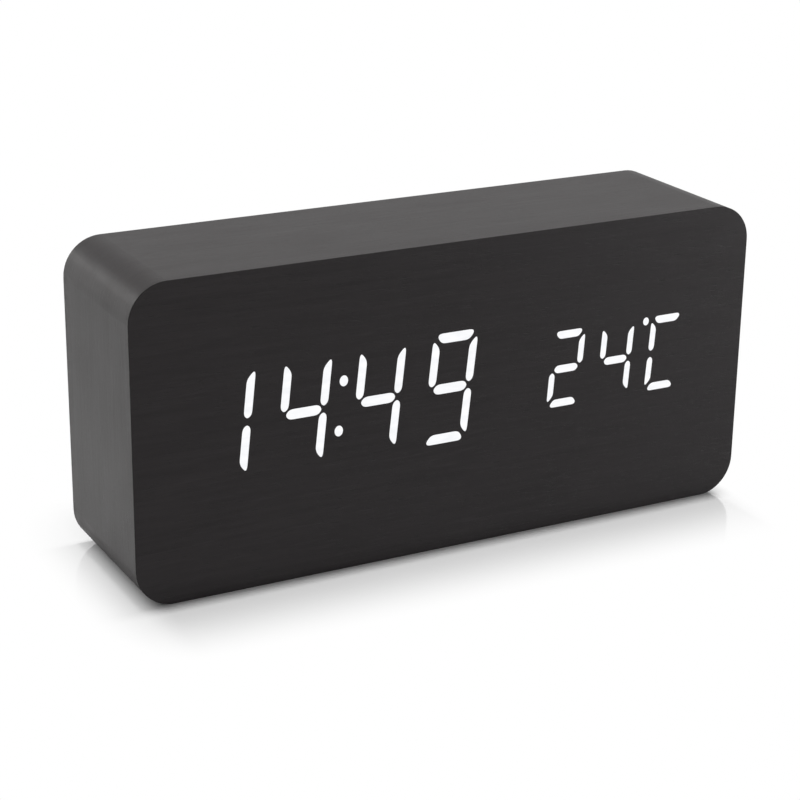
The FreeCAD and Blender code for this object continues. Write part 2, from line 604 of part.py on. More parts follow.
holder = body("coin_cell_holder", "coin_x", board_rear, f"{display_z} + coin_z")
holder_side = "(coin_diameter/2 + coin_gap + holder_wall)"
holder_leg = f"(2*{holder_side} - sqrt(2)*(coin_diameter/2 + coin_gap))"
holder_plate = sketch(holder, "holder_plate_outline")
centred(holder_plate, "0", "0", f"(2*{holder_side})", f"(2*{holder_side})")
pad(holder, "holder_plate", holder_plate, "holder_floor")
holder_corners = sketch(holder, "holder_corner_outline", depth="holder_floor")
for side, end in CORNERS:
    polygon(holder_corners, [
        (f"{side}*{holder_side}", f"{end}*{holder_side}"),
        (f"{side}*({holder_side} - {holder_leg})", f"{end}*{holder_side}"),
        (f"{side}*{holder_side}", f"{end}*({holder_side} - {holder_leg})")])
pad(holder, "holder_corners", holder_corners, "coin_thickness")

coin = doc.addObject("Part::Cylinder", "coin_cell")
bind(coin, "Radius", "coin_diameter/2")
bind(coin, "Height", "coin_thickness")
coin.Placement.Rotation = FreeCAD.Rotation(V(1, 0, 0), -90)
bind(coin, "Placement.Base.x", "coin_x")
bind(coin, "Placement.Base.y", f"{board_rear} + holder_floor")
bind(coin, "Placement.Base.z", f"{display_z} + coin_z")

buzzer = body("buzzer", "buzzer_x", board_rear, f"{display_z} + buzzer_z")
turned(buzzer, "buzzer_can", [
    ("0", "0"), ("buzzer_diameter/2", "0"), ("buzzer_diameter/2", "buzzer_height"),
    ("buzzer_port/2", "buzzer_height"), ("buzzer_port/2", "buzzer_height/2"), ("0", "buzzer_height/2")])

capacitor = body("smoothing_capacitor", "capacitor_x", board_rear, f"{display_z} + capacitor_z")
capacitor_can = sketch(capacitor, "capacitor_can_outline")
circle(capacitor_can, "0", "0", "capacitor_diameter")
pad(capacitor, "capacitor_can", capacitor_can, "capacitor_height")
capacitor_base = sketch(capacitor, "capacitor_base_outline")
centred(capacitor_base, "0", "0", "capacitor_base", "capacitor_base")
pad(capacitor, "capacitor_foot", capacitor_base, "capacitor_base_height")

resistors = group("chip_resistors", [
    box(num("resistor_x") + place*num("resistor_pitch") - num("resistor_width/2"), num(board_rear),
        num(f"{display_z} + resistor_z") - num("resistor_length/2"),
        num("resistor_width"), num("resistor_height"), num("resistor_length"))
    for place in range(int(num("resistor_count")))])


def header(x, z, pins, upright):
    """A shrouded socket for a cable plug, open towards the back, with its pins."""
    long, wide = pins*num("pin_pitch") + 3*num("header_wall"), num("header_depth")
    across, tall = (wide, long) if upright else (long, wide)
    rear, high, wall, pin = num(board_rear), num("header_height"), num("header_wall"), num("pin_size")
    shroud = box(x - across/2, rear, z - tall/2, across, high, tall)
    shroud = shroud.cut(box(x - across/2 + wall, rear + wall, z - tall/2 + wall,
                            across - 2*wall, high, tall - 2*wall))
    for place in range(pins):
        step = (place - (pins - 1)/2)*num("pin_pitch")
        a, b = (x, z + step) if upright else (x + step, z)
        shroud = shroud.fuse(box(a - pin/2, rear, b - pin/2, pin, num("pin_height"), pin))
    return shroud.removeSplitter()


# ---- Back cover with its battery tray ------------------------------------------------------------
cover = body("back_cover")
plate = sketch(cover, "plate_outline", depth=cover_inner)
rounded(plate, "0", middle_z, f"({opening_wide} - 2*cover_gap)", f"({opening_tall} - 2*cover_gap)",
        "cover_corner")
pad(cover, "plate", plate, "cover_thickness")
tray = sketch(cover, "tray_outline", depth=f"{tray_bed} - tray_floor")
centred(tray, "0", middle_z, f"({tray_wide} + 2*tray_wall)", f"({tray_tall} + 2*tray_wall)")
pad(cover, "tray", tray, f"{cover_inner} - {tray_bed} + tray_floor")
tray_hollow = sketch(cover, "tray_hollow_outline", depth=tray_bed)
centred(tray_hollow, "0", middle_z, tray_wide, tray_tall)
pocket(cover, "tray_hollow", tray_hollow, f"{cover_outer} - {tray_bed}")
recess = sketch(cover, "door_recess_outline", depth=cover_inner)
rounded(recess, "0", middle_z, recess_wide, recess_tall, "(door_corner + door_gap)")
pocket(cover, "door_recess", recess, "cover_thickness")

# slots in the foot of the tray for the door's hooks, and the opening for its latch in the head
tray_low = f"({middle_z} - {tray_tall}/2)"
tray_high = f"({middle_z} + {tray_tall}/2)"
hook_slots = sketch(cover, "hook_slot_outline", depth=f"{cover_inner} - hook_swing")
for side in (-1, 1):
    rectangle(hook_slots, f"{side}*hook_spread - hook_width/2 - hook_side_gap", f"{tray_low} - 2*tray_wall",
              f"{side}*hook_spread + hook_width/2 + hook_side_gap", f"{tray_low} + tray_wall")
pocket(cover, "hook_slots", hook_slots, "hook_swing")
latch_slot = sketch(cover, "latch_slot_outline", depth=f"{cover_outer} - latch_depth - latch_catch*2")
rectangle(latch_slot, "-latch_width/2 - notch_side_gap", f"{tray_high} - tray_wall",
          "latch_width/2 + notch_side_gap", f"{middle_z} + {recess_tall}/2 + notch_reach")
pocket(cover, "latch_slot", latch_slot, "latch_depth + latch_catch*2")

# slots for the tabs of the two end contacts
tab_slots = sketch(cover, "tab_slot_outline", "YZ_Plane", f"{tray_wide}/2")
for end in ("-1.5", "1.5"):
    centred(tab_slots, cell_y, f"{middle_z} + {end}*{cell_pitch}",
            "(plate_thickness + 2*tab_gap)", "(tab_width + 2*tab_gap)")
tab_cut = pocket(cover, "tab_slots", tab_slots, "tray_wall")
tab_cut.Reversed = True

# low ridges between the cells
ridge = sketch(cover, "ridge_outline", "YZ_Plane")
polygon(ridge, [
    (tray_bed, f"{middle_z} - {cell_pitch} - ridge_foot/2"),
    (f"{tray_bed} + ridge_height", f"{middle_z} - {cell_pitch} - ridge_foot/8"),
    (f"{tray_bed} + ridge_height", f"{middle_z} - {cell_pitch} + ridge_foot/8"),
    (tray_bed, f"{middle_z} - {cell_pitch} + ridge_foot/2")])
ridge_pad = pad(cover, "ridge", ridge, "cell_length*0.8", both_ways=True)
pattern(cover, "ridges", ridge_pad, "Z_Axis", f"2*{cell_pitch}", "3")

# ribs round the buttons and the sound sensor, and a clip at each end of the button board
ribs = sketch(cover, "rib_outline", depth=f"{cover_inner} - rib_depth")
rib_wide = "(cap_flange + 2*rib_gap)"
rib_tall = "(2*button_pitch + cap_flange + 2*rib_gap)"
microphone_seat = "(microphone_diameter + 2*microphone_gap)"
for extra in ("0", "2*rib_wall"):
    centred(ribs, "button_x", middle_z, f"({rib_wide} + {extra})", f"({rib_tall} + {extra})")
    centred(ribs, "microphone_x", microphone_z, f"({microphone_seat} + {extra})",
            f"({microphone_seat} + {extra})")
pad(cover, "ribs", ribs, "rib_depth")
caps_through = sketch(cover, "cap_hole_outline", depth=cover_inner)
for step in ("-1", "0", "1"):
    circle(caps_through, "button_x", f"{middle_z} + {step}*button_pitch", cap_hole)
pocket(cover, "cap_holes", caps_through, "cover_thickness")
board_end = f"({button_board_tall}/2)"
for name, end in (("upper_clip", "1"), ("lower_clip", "-1")):
    clip = sketch(cover, f"{name}_outline", "YZ_Plane", "button_x")
    polygon(clip, [(y, f"{middle_z} + {end}*({z})") for y, z in (
        (cover_inner, f"{board_end} - clip_shoulder"), (button_board_rear, f"{board_end} - clip_shoulder"),
        (button_board_rear, f"{board_end} + clip_gap"), (button_board_front, f"{board_end} + clip_gap"),
        (button_board_front, f"{board_end} - clip_catch"),
        (f"{button_board_front} - clip_lip", f"{board_end} + clip_gap"),
        (f"{button_board_front} - clip_lip", f"{board_end} + clip_gap + clip_thickness"),
        (cover_inner, f"{board_end} + clip_gap + clip_thickness"))])
    pad(cover, name, clip, "clip_width", both_ways=True)

# rails for the power board, with a groove in each
rails = sketch(cover, "rail_outline", depth=f"{cover_inner} - rail_length")
grooves = sketch(cover, "groove_outline", depth=f"{cover_inner} - rail_length")
for side in (-1, 1):
    edge = f"inlet_x + {side}*power_board_width/2"
    near, far = f"{edge} - {side}*rail_bite", f"{edge} - {side}*rail_bite + {side}*rail_width"
    groove_end = f"{edge} + {side}*rail_gap"
    rectangle(rails, near, f"{inlet_z} - rail_height/2", far, f"{inlet_z} + rail_height/2")
    rectangle(grooves, f"{near} - {side}*rail_gap", f"{inlet_z} - power_board_thickness/2 - rail_gap",
              groove_end, f"{inlet_z} + power_board_thickness/2 + rail_gap")
pad(cover, "rails", rails, "rail_length")
pocket(cover, "grooves", grooves, "rail_length")

# the mouth of the power inlet, the vents, the grille and the sound hole
mouth = sketch(cover, "inlet_outline", depth=cover_inner)
centred(mouth, "inlet_x", socket_z, "(socket_width + 2*socket_gap)",
        "(socket_height + 2*socket_gap)")
pocket(cover, "inlet", mouth, "cover_thickness")
vent = sketch(cover, "vent_outline", depth=cover_inner)
centred(vent, "inlet_x", f"{power_board_top} + sensor_rise - vent_pitch", "vent_length", "vent_width")
vent_cut = pocket(cover, "vent", vent, "cover_thickness")
pattern(cover, "vents", vent_cut, "Z_Axis", "(vent_count - 1)*vent_pitch", "vent_count")
grille = sketch(cover, "grille_outline", depth=cover_inner)
centred(grille, "buzzer_x", f"{grille_z} - (grille_count - 1)*vent_pitch/2", "grille_length", "vent_width")
grille_cut = pocket(cover, "grille_slot", grille, "cover_thickness")
pattern(cover, "grille", grille_cut, "Z_Axis", "(grille_count - 1)*vent_pitch", "grille_count")
sound_hole = sketch(cover, "sound_hole_outline", depth=cover_inner)
circle(sound_hole, "microphone_x", microphone_z, "microphone_hole")
pocket(cover, "sound_hole", sound_hole, "cover_thickness")

cover_holes = sketch(cover, "cover_hole_outline", depth=cover_outer)
for side, end in CORNERS:
    circle(cover_holes, f"{side}*{post_x}", f"{middle_z} + {end}*{post_z}", ear_bore)
doc.recompute()
countersinks = cover.newObject("PartDesign::Hole", "countersinks")
countersinks.Profile = cover_holes
doc.recompute()
countersinks.DepthType = "ThroughAll"
countersinks.HoleCutType = "Countersink"
countersinks.HoleCutCountersinkAngle = 90
countersinks.Reversed = True
bind(countersinks, "Diameter", ear_bore)
bind(countersinks, "HoleCutDiameter", "screw_head")
cover_screws = group("cover_screws", [
    screw(side*num(post_x), num(cover_outer), num(f"{middle_z} + {end}*{post_z}"),
          num("cover_thickness + cover_screw_bite"), sunk=True)
    for side, end in CORNERS])

# ---- Cells and their contacts --------------------------------------------------------------------
# The cells lie in rows along X; each row is turned end for end from the one below it.
ROWS = [(-1.5, -1), (-0.5, 1), (0.5, -1), (1.5, 1)]
tray_end = num(f"{tray_wide}/2")
thick = num("plate_thickness")
tip = tray_end - thick
can, length = num("cell_diameter/2"), num("cell_length")
nub, nub_radius = num("nub_length"), num("nub_diameter/2")
half = [V(0, 0, 0), V(nub_radius, 0, 0), V(nub_radius, 0, nub), V(can, 0, nub),
        V(can, 0, length), V(0, 0, length)]
room, leaf = num("contact_room - 2*plate_thickness"), num("spring_thickness")
path = [(leaf, -can*0.8), (leaf, -can/2), (room, 0), (room/2, can*0.7)]
cells, springs = [], []
for place, plus_side in ROWS:
    row_z = num(f"{middle_z} + {place}*{cell_pitch}")
    cell = Part.Face(Part.makePolygon(half + half[:1])).revolve(V(0, 0, 0), V(0, 0, 1), 360)
    cell.Placement = FreeCAD.Placement(V(plus_side*tip, num(cell_y), row_z),
                                       FreeCAD.Rotation(V(0, 0, 1), V(-plus_side, 0, 0)))
    cells.append(cell)
    bent = strip([(plus_side*(a - tip), b + num(cell_y)) for a, b in path],
                 -plus_side*leaf, row_z - num("spring_width/2"), num("spring_width"))
    springs.append(bent)


def contact_plate(end, first, last):
    """A flat plate on one end wall of the tray, from one row to another."""
    deep, wide = num("plate_reach"), num("plate_width")
    low = num(f"{middle_z} + {first}*{cell_pitch}") - wide/2
    high = num(f"{middle_z} + {last}*{cell_pitch}") + wide/2
    left = -tray_end if end < 0 else tray_end - thick
    return box(left, num(cell_y) - deep/2, low, thick, deep, high - low)


plates = [contact_plate(-1, -1.5, -0.5), contact_plate(-1, 0.5, 1.5), contact_plate(1, -0.5, 0.5),
          contact_plate(1, -1.5, -1.5), contact_plate(1, 1.5, 1.5)]
battery_cells = group("battery_cells", cells)
battery_springs = group("battery_springs", springs)
battery_plates = group("battery_plates", plates)

# ---- Battery door --------------------------------------------------------------------------------
door = body("battery_door")
door_plate = sketch(door, "door_outline", depth=door_inner)
rounded(door_plate, "0", middle_z, f"({recess_wide} - 2*door_gap)", f"({recess_tall} - 2*door_gap)",
        "door_corner")
pad(door, "door_plate", door_plate, "door_thickness")
hook_top = f"{cover_inner} - door_gap"
hook_end = f"{door_foot} - door_gap - hook_reach"
for name, side in (("left_hook", "-1"), ("right_hook", "1")):
    hook = sketch(door, f"{name}_outline", "YZ_Plane", f"{side}*hook_spread")
    polygon(hook, [
        (f"{hook_top} - hook_thickness", hook_end), (hook_top, hook_end),
        (hook_top, f"{door_foot} + door_gap"), (f"{door_inner} + door_gap", f"{door_foot} + door_gap"),
        (f"{door_inner} + door_gap", f"{door_foot} + hook_root"),
        (f"{hook_top} - hook_thickness", f"{door_foot} + hook_root")])
    pad(door, name, hook, "hook_width", both_ways=True)
latch = sketch(door, "latch_outline", "YZ_Plane")
loop_end = f"{cover_outer} - latch_depth"
outer_leg = f"({door_head} + latch_loop)"
polygon(latch, [
    (f"{door_inner} + door_gap", f"{door_head} - latch_bend"), (loop_end, f"{door_head} - latch_bend"),
    (loop_end, f"{outer_leg} + latch_leg"),
    (f"{hook_top} - hook_thickness", f"{outer_leg} + latch_leg"),
    (f"{hook_top} - hook_thickness", f"{outer_leg} + latch_leg + latch_catch"),
    (hook_top, f"{outer_leg} + latch_leg"),
    (cover_outer, f"{outer_leg} + latch_leg"), (cover_outer, outer_leg),
    (f"{loop_end} + latch_leg", outer_leg), (f"{loop_end} + latch_leg", door_head),
    (f"{door_inner} + door_gap", door_head)])
pad(door, "latch", latch, "latch_width", both_ways=True)
grip = sketch(door, "grip_outline", depth=f"{cover_outer} - grip_depth")
grip_first = f"{door_head} - grip_drop"
rectangle(grip, "-grip_length/2", f"{grip_first} - grip_width", "grip_length/2", grip_first)
grip_cut = pocket(door, "grip", grip, "grip_depth")
grips = pattern(door, "grips", grip_cut, "Z_Axis", "(grip_count - 1)*grip_pitch", "grip_count")
grips.Reversed = True

# ---- Buttons, their switches and their board -----------------------------------------------------
for name, step in (("set", "1"), ("up", "0"), ("down", "-1")):
    row_z = f"{middle_z} + {step}*button_pitch"
    cap = body(f"{name}_button_cap", "button_x", "0", row_z)
    turned(cap, f"{name}_cap", [
        ("0", plunger_top), ("cap_flange/2", plunger_top), ("cap_flange/2", flange_top),
        ("cap_diameter/2", flange_top), ("cap_diameter/2", f"{cover_outer} + cap_proud"),
        ("0", f"{cover_outer} + cap_proud")])
    plunger = doc.addObject("Part::Box", f"{name}_switch_plunger")
    bind(plunger, "Length", "plunger_size")
    bind(plunger, "Width", "plunger_rise + switch_height - switch_floor - plunger_gap - button_travel")
    bind(plunger, "Height", "plunger_size")
    bind(plunger, "Placement.Base.x", "button_x - plunger_size/2")
    bind(plunger, "Placement.Base.y",
         f"{button_board_rear} + switch_floor + plunger_gap + button_travel")
    bind(plunger, "Placement.Base.z", f"{row_z} - plunger_size/2")

size, high, well = num("switch_size"), num("switch_height"), num("plunger_size + 2*plunger_gap")
rear, floor = num(button_board_rear), num("switch_floor")
switches = []
for step in (-1, 0, 1):
    row_z = num(f"{middle_z} + {step}*button_pitch")
    block = box(num("button_x") - size/2, rear, row_z - size/2, size, high, size)
    hollow = box(num("button_x") - well/2, rear + floor, row_z - well/2, well, high, well)
    switches.append(block.cut(hollow))
switch_bodies = group("switch_bodies", switches)

button_board = doc.addObject("Part::Box", "button_board")
bind(button_board, "Length", "button_board_width")
bind(button_board, "Width", "board_thickness")
bind(button_board, "Height", button_board_tall)
bind(button_board, "Placement.Base.x", "button_x - button_board_width/2")
bind(button_board, "Placement.Base.y", button_board_front)
bind(button_board, "Placement.Base.z", f"{middle_z} - {button_board_tall}/2")

# ---- Power inlet, temperature sensor and sound sensor --------------------------------------------
power_board = doc.addObject("Part::Box", "power_board")
bind(power_board, "Length", "power_board_width")
bind(power_board, "Width", "power_board_depth")
bind(power_board, "Height", "power_board_thickness")
bind(power_board, "Placement.Base.x", "inlet_x - power_board_width/2")
bind(power_board, "Placement.Base.y", power_board_front)
bind(power_board, "Placement.Base.z", f"{inlet_z} - power_board_thickness/2")

socket = body("power_socket_shell", "inlet_x", f"{socket_mouth} - socket_depth", power_board_top)


def socket_section(drawing, inset):
    """The section of a micro socket: wide above, with its lower corners cut back."""
    half, high = f"(socket_width/2 - {inset})", f"(socket_height - {inset})"
    polygon(drawing, [
        (f"socket_bevel - {half}", inset), (f"{half} - socket_bevel", inset),
        (half, f"socket_bevel + {inset}/2"), (half, high), (f"-{half}", high),
        (f"-{half}", f"socket_bevel + {inset}/2")])


shell = sketch(socket, "shell_outline")
socket_section(shell, "0")
pad(socket, "shell", shell, "socket_depth")
shell_hollow = sketch(socket, "shell_hollow_outline", depth="socket_wall")
socket_section(shell_hollow, "socket_wall")
pocket(socket, "shell_hollow", shell_hollow, "socket_depth")
tongue = doc.addObject("Part::Box", "power_socket_tongue")
bind(tongue, "Length", "tongue_width")
bind(tongue, "Width", "tongue_length")
bind(tongue, "Height", "tongue_thickness")
bind(tongue, "Placement.Base.x", "inlet_x - tongue_width/2")
bind(tongue, "Placement.Base.y", f"{socket_mouth} - socket_depth + socket_wall")
bind(tongue, "Placement.Base.z", f"{socket_z} - tongue_thickness/2")

regulator = body("voltage_regulator", "inlet_x", power_board_front, power_board_top)
regulator_side = sketch(regulator, "regulator_outline", "YZ_Plane")
polygon(regulator_side, [
    ("socket_wall", "0"), ("socket_wall + regulator_length", "0"),
    ("socket_wall*2/3 + regulator_length", "regulator_height"), ("socket_wall*4/3", "regulator_height")])
pad(regulator, "regulator_block", regulator_side, "regulator_width", both_ways=True)

sensor_y = f"{power_board_front} + 2*socket_wall + regulator_length + sensor_bead/2"
thermistor = body("thermistor", "inlet_x", sensor_y, power_board_top)
bead = sketch(thermistor, "bead_outline", "XY_Plane", "sensor_rise - sensor_bead/2")
circle(bead, "0", "0", "sensor_bead")
bead_pad = pad(thermistor, "bead", bead, "sensor_bead")
bead_pad.Reversed = False
sensor_leads = sketch(thermistor, "sensor_lead_outline", "XY_Plane")
for side in (-1, 1):
    centred(sensor_leads, f"{side}*sensor_lead_gap/2", "0", "sensor_lead", "sensor_lead")
lead_pad = pad(thermistor, "sensor_leads", sensor_leads, "sensor_rise")
lead_pad.Reversed = False

microphone = doc.addObject("Part::Cylinder", "sound_sensor")
bind(microphone, "Radius", "microphone_diameter/2")
bind(microphone, "Height", "microphone_thickness")
microphone.Placement.Rotation = FreeCAD.Rotation(V(1, 0, 0), -90)
bind(microphone, "Placement.Base.x", "microphone_x")
bind(microphone, "Placement.Base.y", f"{cover_inner} - microphone_thickness")
bind(microphone, "Placement.Base.z", microphone_z)

# ---- Cables, and the plugs and sockets that join them to the display board ------------------------
button_plug_x, lead_plug_x = "(button_x - button_board_width)", f"({recess_wide}/2 + plug_clear)"
# where each socket stands, how many pins it has, and whether it stands upright
PLUGS = {
    "button": (num(button_plug_x), num(f"{display_z} - plug_drop"), 4, True),
    "battery": (num(lead_plug_x), num(display_z), 2, True),
    "power": (num("inlet_x"), num(f"{inlet_z} + plug_rise"), 2, False),
    "sound": (num("microphone_x"), num(f"{microphone_z} - microphone_drop"), 2, False)}
plug_top = num(f"{board_rear} + header_height + plug_proud")


def plug(x, z, pins, upright):
    """The plug in a socket, hollow where the pins stand."""
    gap, wall, pin = num("plug_gap"), num("header_wall"), num("pin_size")
    long, wide = pins*num("pin_pitch") + wall - 2*gap, num("header_depth") - 2*wall - 2*gap
    across, tall = (wide, long) if upright else (long, wide)
    low = num(board_rear) + wall + gap
    hole, deep = pin/2 + gap, num("pin_height - header_wall")
    made = box(x - across/2, low, z - tall/2, across, plug_top - low, tall)
    for place in range(pins):
        step = (place - (pins - 1)/2)*num("pin_pitch")
        a, b = (x, z + step) if upright else (x + step, z)
        made = made.cut(box(a - hole, low, b - hole, 2*hole, deep, 2*hole))
    return made


def cable(label, wires, path, start, upright):
    """A flat cable of so many wires, side by side, along a path."""
    return group(label, [strip(path, num("cable_thickness"), start, wires*num("cable_wire"), upright)])


sockets = group("cable_sockets", [header(*place) for place in PLUGS.values()])
plugs = group("cable_plugs", [plug(*place) for place in PLUGS.values()])

from_x, from_z = PLUGS["button"][:2]
turn_y = (plug_top + num(button_board_front))/2
end_x = num("button_x - button_board_width/2 + plug_clear")
button_cable = cable("button_cable", 4, [
    (from_x, plug_top), (from_x, turn_y), (end_x, turn_y), (end_x, num(button_board_front))],
    from_z - num("2*cable_wire"), True)

from_x, from_z = PLUGS["power"][:2]
turn_y = (plug_top + num(power_board_front))/2
end_z = num(f"{inlet_z} + cable_thickness/2")
power_cable = cable("power_cable", 2, [
    (from_z, plug_top), (from_z, turn_y), (end_z, turn_y), (end_z, num(power_board_front))],
    from_x - num("cable_wire"), False)

from_x, from_z = PLUGS["sound"][:2]
thin, wide = num("cable_thickness"), num("2*cable_wire")
sound_cable = group("sound_cable", [
    box(from_x - wide/2, plug_top, from_z - thin/2,
        wide, num(f"{cover_inner} - microphone_thickness") - plug_top, thin)])

# the two battery leads part at the plug and run to tabs that pass through the wall of the tray
from_x, from_z = PLUGS["battery"][:2]
wire, tab = num("cable_wire"), num("tab_width")
lead_x = num(f"{tray_wide}/2 + tray_wall + tab_proud")
turn_y = num(f"{cell_y} - tab_width")
tabs, battery_wires = [], []
for side in (-1, 1):
    tab_z = num(f"{middle_z} + {side}*1.5*{cell_pitch}")
    tabs.append(box(tray_end, num(cell_y) - thick/2, tab_z - tab/2, lead_x - tray_end, thick, tab))
    start_z = from_z + side*num("pin_pitch/2")
    path = [(start_z, plug_top), (start_z, turn_y), (tab_z, turn_y), (tab_z, num(cell_y))]
    battery_wires.append(strip(path, wire, lead_x, wire, False))
terminal_tabs = group("terminal_tabs", tabs)
red_lead = group("red_battery_lead", battery_wires[1:])
black_lead = group("black_battery_lead", battery_wires[:1])

SUB_PARTS = [
    case, band, front_veneer, back_veneer, diffuser, light_guide, board, leds, board_screws,
    lit_time, lit_colon, lit_temperature, lit_degree, control_chip, driver_chip, leads, crystal,
    holder, coin, buzzer, capacitor, resistors, sockets, plugs, cover, cover_screws, battery_cells,
    battery_springs, battery_plates, door, switch_bodies, button_board,
    power_board, socket, tongue, regulator, thermistor, microphone,
    button_cable, power_cable, sound_cable, red_lead, black_lead, terminal_tabs]
SUB_PARTS += [doc.getObject(f"{name}_{kind}") for name in ("set", "up", "down")
              for kind in ("button_cap", "switch_plunger")]

doc.recompute()
for thing in doc.Objects:
    if "Invalid" in thing.State or "Error" in thing.State:
        raise RuntimeError(f"{thing.Label} did not build: {thing.State}")
for sub_part in SUB_PARTS:
    if sub_part.Shape.isNull() or not sub_part.Shape.isValid():
        raise RuntimeError(f"{sub_part.Label} has no valid shape")
os.makedirs("parts", exist_ok=True)
for sub_part in SUB_PARTS:
    sub_part.Shape.exportStep(f"parts/{sub_part.Label}.step")
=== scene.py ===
import math

import bmesh
import bpy
from mathutils import Matrix, Vector


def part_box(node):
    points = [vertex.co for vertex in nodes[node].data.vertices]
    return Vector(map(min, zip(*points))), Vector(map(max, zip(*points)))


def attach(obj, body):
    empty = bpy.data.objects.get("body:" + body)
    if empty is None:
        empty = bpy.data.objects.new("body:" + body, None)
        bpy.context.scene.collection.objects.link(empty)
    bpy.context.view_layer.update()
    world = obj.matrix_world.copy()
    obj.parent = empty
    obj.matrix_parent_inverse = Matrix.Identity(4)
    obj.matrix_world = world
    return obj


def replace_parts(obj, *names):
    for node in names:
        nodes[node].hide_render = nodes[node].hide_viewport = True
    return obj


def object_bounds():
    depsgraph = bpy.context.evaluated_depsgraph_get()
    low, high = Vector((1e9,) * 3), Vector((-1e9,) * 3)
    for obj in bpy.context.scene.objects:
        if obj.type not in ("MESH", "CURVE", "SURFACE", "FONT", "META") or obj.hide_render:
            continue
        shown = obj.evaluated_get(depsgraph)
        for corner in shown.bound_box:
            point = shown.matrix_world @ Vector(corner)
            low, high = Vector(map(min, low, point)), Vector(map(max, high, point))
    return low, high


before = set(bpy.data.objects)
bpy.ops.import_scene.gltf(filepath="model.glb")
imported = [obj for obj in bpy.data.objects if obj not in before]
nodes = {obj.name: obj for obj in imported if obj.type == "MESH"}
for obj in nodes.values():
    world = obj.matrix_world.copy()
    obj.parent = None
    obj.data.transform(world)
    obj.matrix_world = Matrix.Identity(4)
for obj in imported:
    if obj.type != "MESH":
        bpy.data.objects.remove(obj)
cad_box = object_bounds()

# ---- Block --------------------------------------------------------------------------------------
# The block is milled from fibreboard: a rounded block with a hollow behind, four posts in its
# corners and a window in its front wall. It is raw but for its rear rebate, which is stained black.
REBATE_FRONT, REBATE_BLACK = 0.0150, (0.009, 0.008, 0.008)
BOARD_BROWN, BOARD_TAN = (0.30, 0.19, 0.105), (0.45, 0.31, 0.19)
FIBRE_SIZE, FLECK_SIZE, BOARD_RELIEF = 0.0006, 0.002, 0.00008


class Wire:
    """A socket in a material. Sums and products of it add the nodes that work them out."""

    def __init__(self, tree, socket=None):
        self.tree = tree
        self.socket = socket

    def node(self, kind, settings, inputs, output=0):
        """An output of a new node: its settings are made first, and then its sockets are filled."""
        made = self.tree.nodes.new(kind)
        for name, value in settings.items():
            setattr(made, name, value)
        for key, value in inputs.items():
            if isinstance(value, Wire):
                self.tree.links.new(value.socket, made.inputs[key])
            else:
                made.inputs[key].default_value = value
        return Wire(self.tree, made.outputs[output])

    def math(self, operation, *others):
        terms = dict(enumerate((self, *others)))
        return self.node("ShaderNodeMath", {"operation": operation}, terms)

    def __add__(self, other):
        return self.math("ADD", other)

    def __sub__(self, other):
        return self.math("SUBTRACT", other)

    def __rsub__(self, other):
        return self.node("ShaderNodeMath", {"operation": "SUBTRACT"}, {0: other, 1: self})

    def __mul__(self, other):
        return self.math("MULTIPLY", other)

    def __abs__(self):
        return self.math("ABSOLUTE")

    def __lt__(self, other):
        return self.math("LESS_THAN", other)

    def __gt__(self, other):
        return self.math("GREATER_THAN", other)

    __radd__ = __add__
    __rmul__ = __mul__


def finish(name, values):
    """A new material with its shader's plain values, and the place on the object to shade it by."""
    material = bpy.data.materials.new(name)
    material.use_nodes = True
    shader = material.node_tree.nodes["Principled BSDF"]
    for socket, value in values.items():
        shader.inputs[socket].default_value = value
    return material, Wire(material.node_tree).node("ShaderNodeTexCoord", {}, {}, "Object")


def shade(material, inputs):
    """Link what changes over a surface to the material's shader."""
    shader = material.node_tree.nodes["Principled BSDF"]
    for name, wire in inputs.items():
        material.node_tree.links.new(wire.socket, shader.inputs[name])


def axis(place, letter):
    """One coordinate of a place, in metres."""
    return place.node("ShaderNodeSeparateXYZ", {}, {"Vector": place}, letter)


def noise(place, size, stretch=(1, 1, 1), detail=3):
    """Soft noise from 0 to 1, with spots of this size in metres that are drawn out by axis."""
    scaled = place.node("ShaderNodeVectorMath", {"operation": "MULTIPLY"},
                        {0: place, 1: tuple(1 / (size * draw) for draw in stretch)})
    return place.node("ShaderNodeTexNoise", {}, {"Vector": scaled, "Scale": 1, "Detail": detail})


def ramp(wire, start, end, low=0, high=1):
    """Brings a wire's range from start to end to the one from low to high, and stops there."""
    return wire.node("ShaderNodeMapRange", {}, {0: wire, 1: start, 2: end, 3: low, 4: high})


def spread(wire, low, high):
    """Brings the usual middle range of noise to the range from low to high."""
    return ramp(wire, 0.3, 0.7, low, high)


def blend(factor, first, second):
    """A colour between two, as the factor goes from 0 to 1."""
    colours = {key: colour if isinstance(colour, Wire) else (*colour, 1)
               for key, colour in ((6, first), (7, second))}
    return factor.node("ShaderNodeMix", {"data_type": "RGBA"}, {0: factor, **colours}, 2)


def bump(height, depth):
    """A surface whose relief is this deep, in metres."""
    return height.node("ShaderNodeBump", {}, {"Height": height, "Distance": depth, "Strength": 1})


def dress(material, *names):
    """Give CAD nodes a material in place of the plain one that they came with."""
    for name in names:
        nodes[name].data.materials.clear()
        nodes[name].data.materials.append(material)


fibreboard, place = finish("fibreboard", {"Specular IOR Level": 0.2})
fibres = noise(place, FIBRE_SIZE, (3, 3, 1), 6)
flecks = noise(place, FLECK_SIZE, detail=8)
stained = axis(place, "Y") > REBATE_FRONT
shade(fibreboard, {
    "Base Color": blend(stained, blend(spread(fibres, 0, 1), BOARD_BROWN, BOARD_TAN), REBATE_BLACK),
    "Roughness": spread(flecks, 0.75, 0.95),
    "Normal": bump(fibres + flecks, BOARD_RELIEF)})
dress(fibreboard, "case_body")

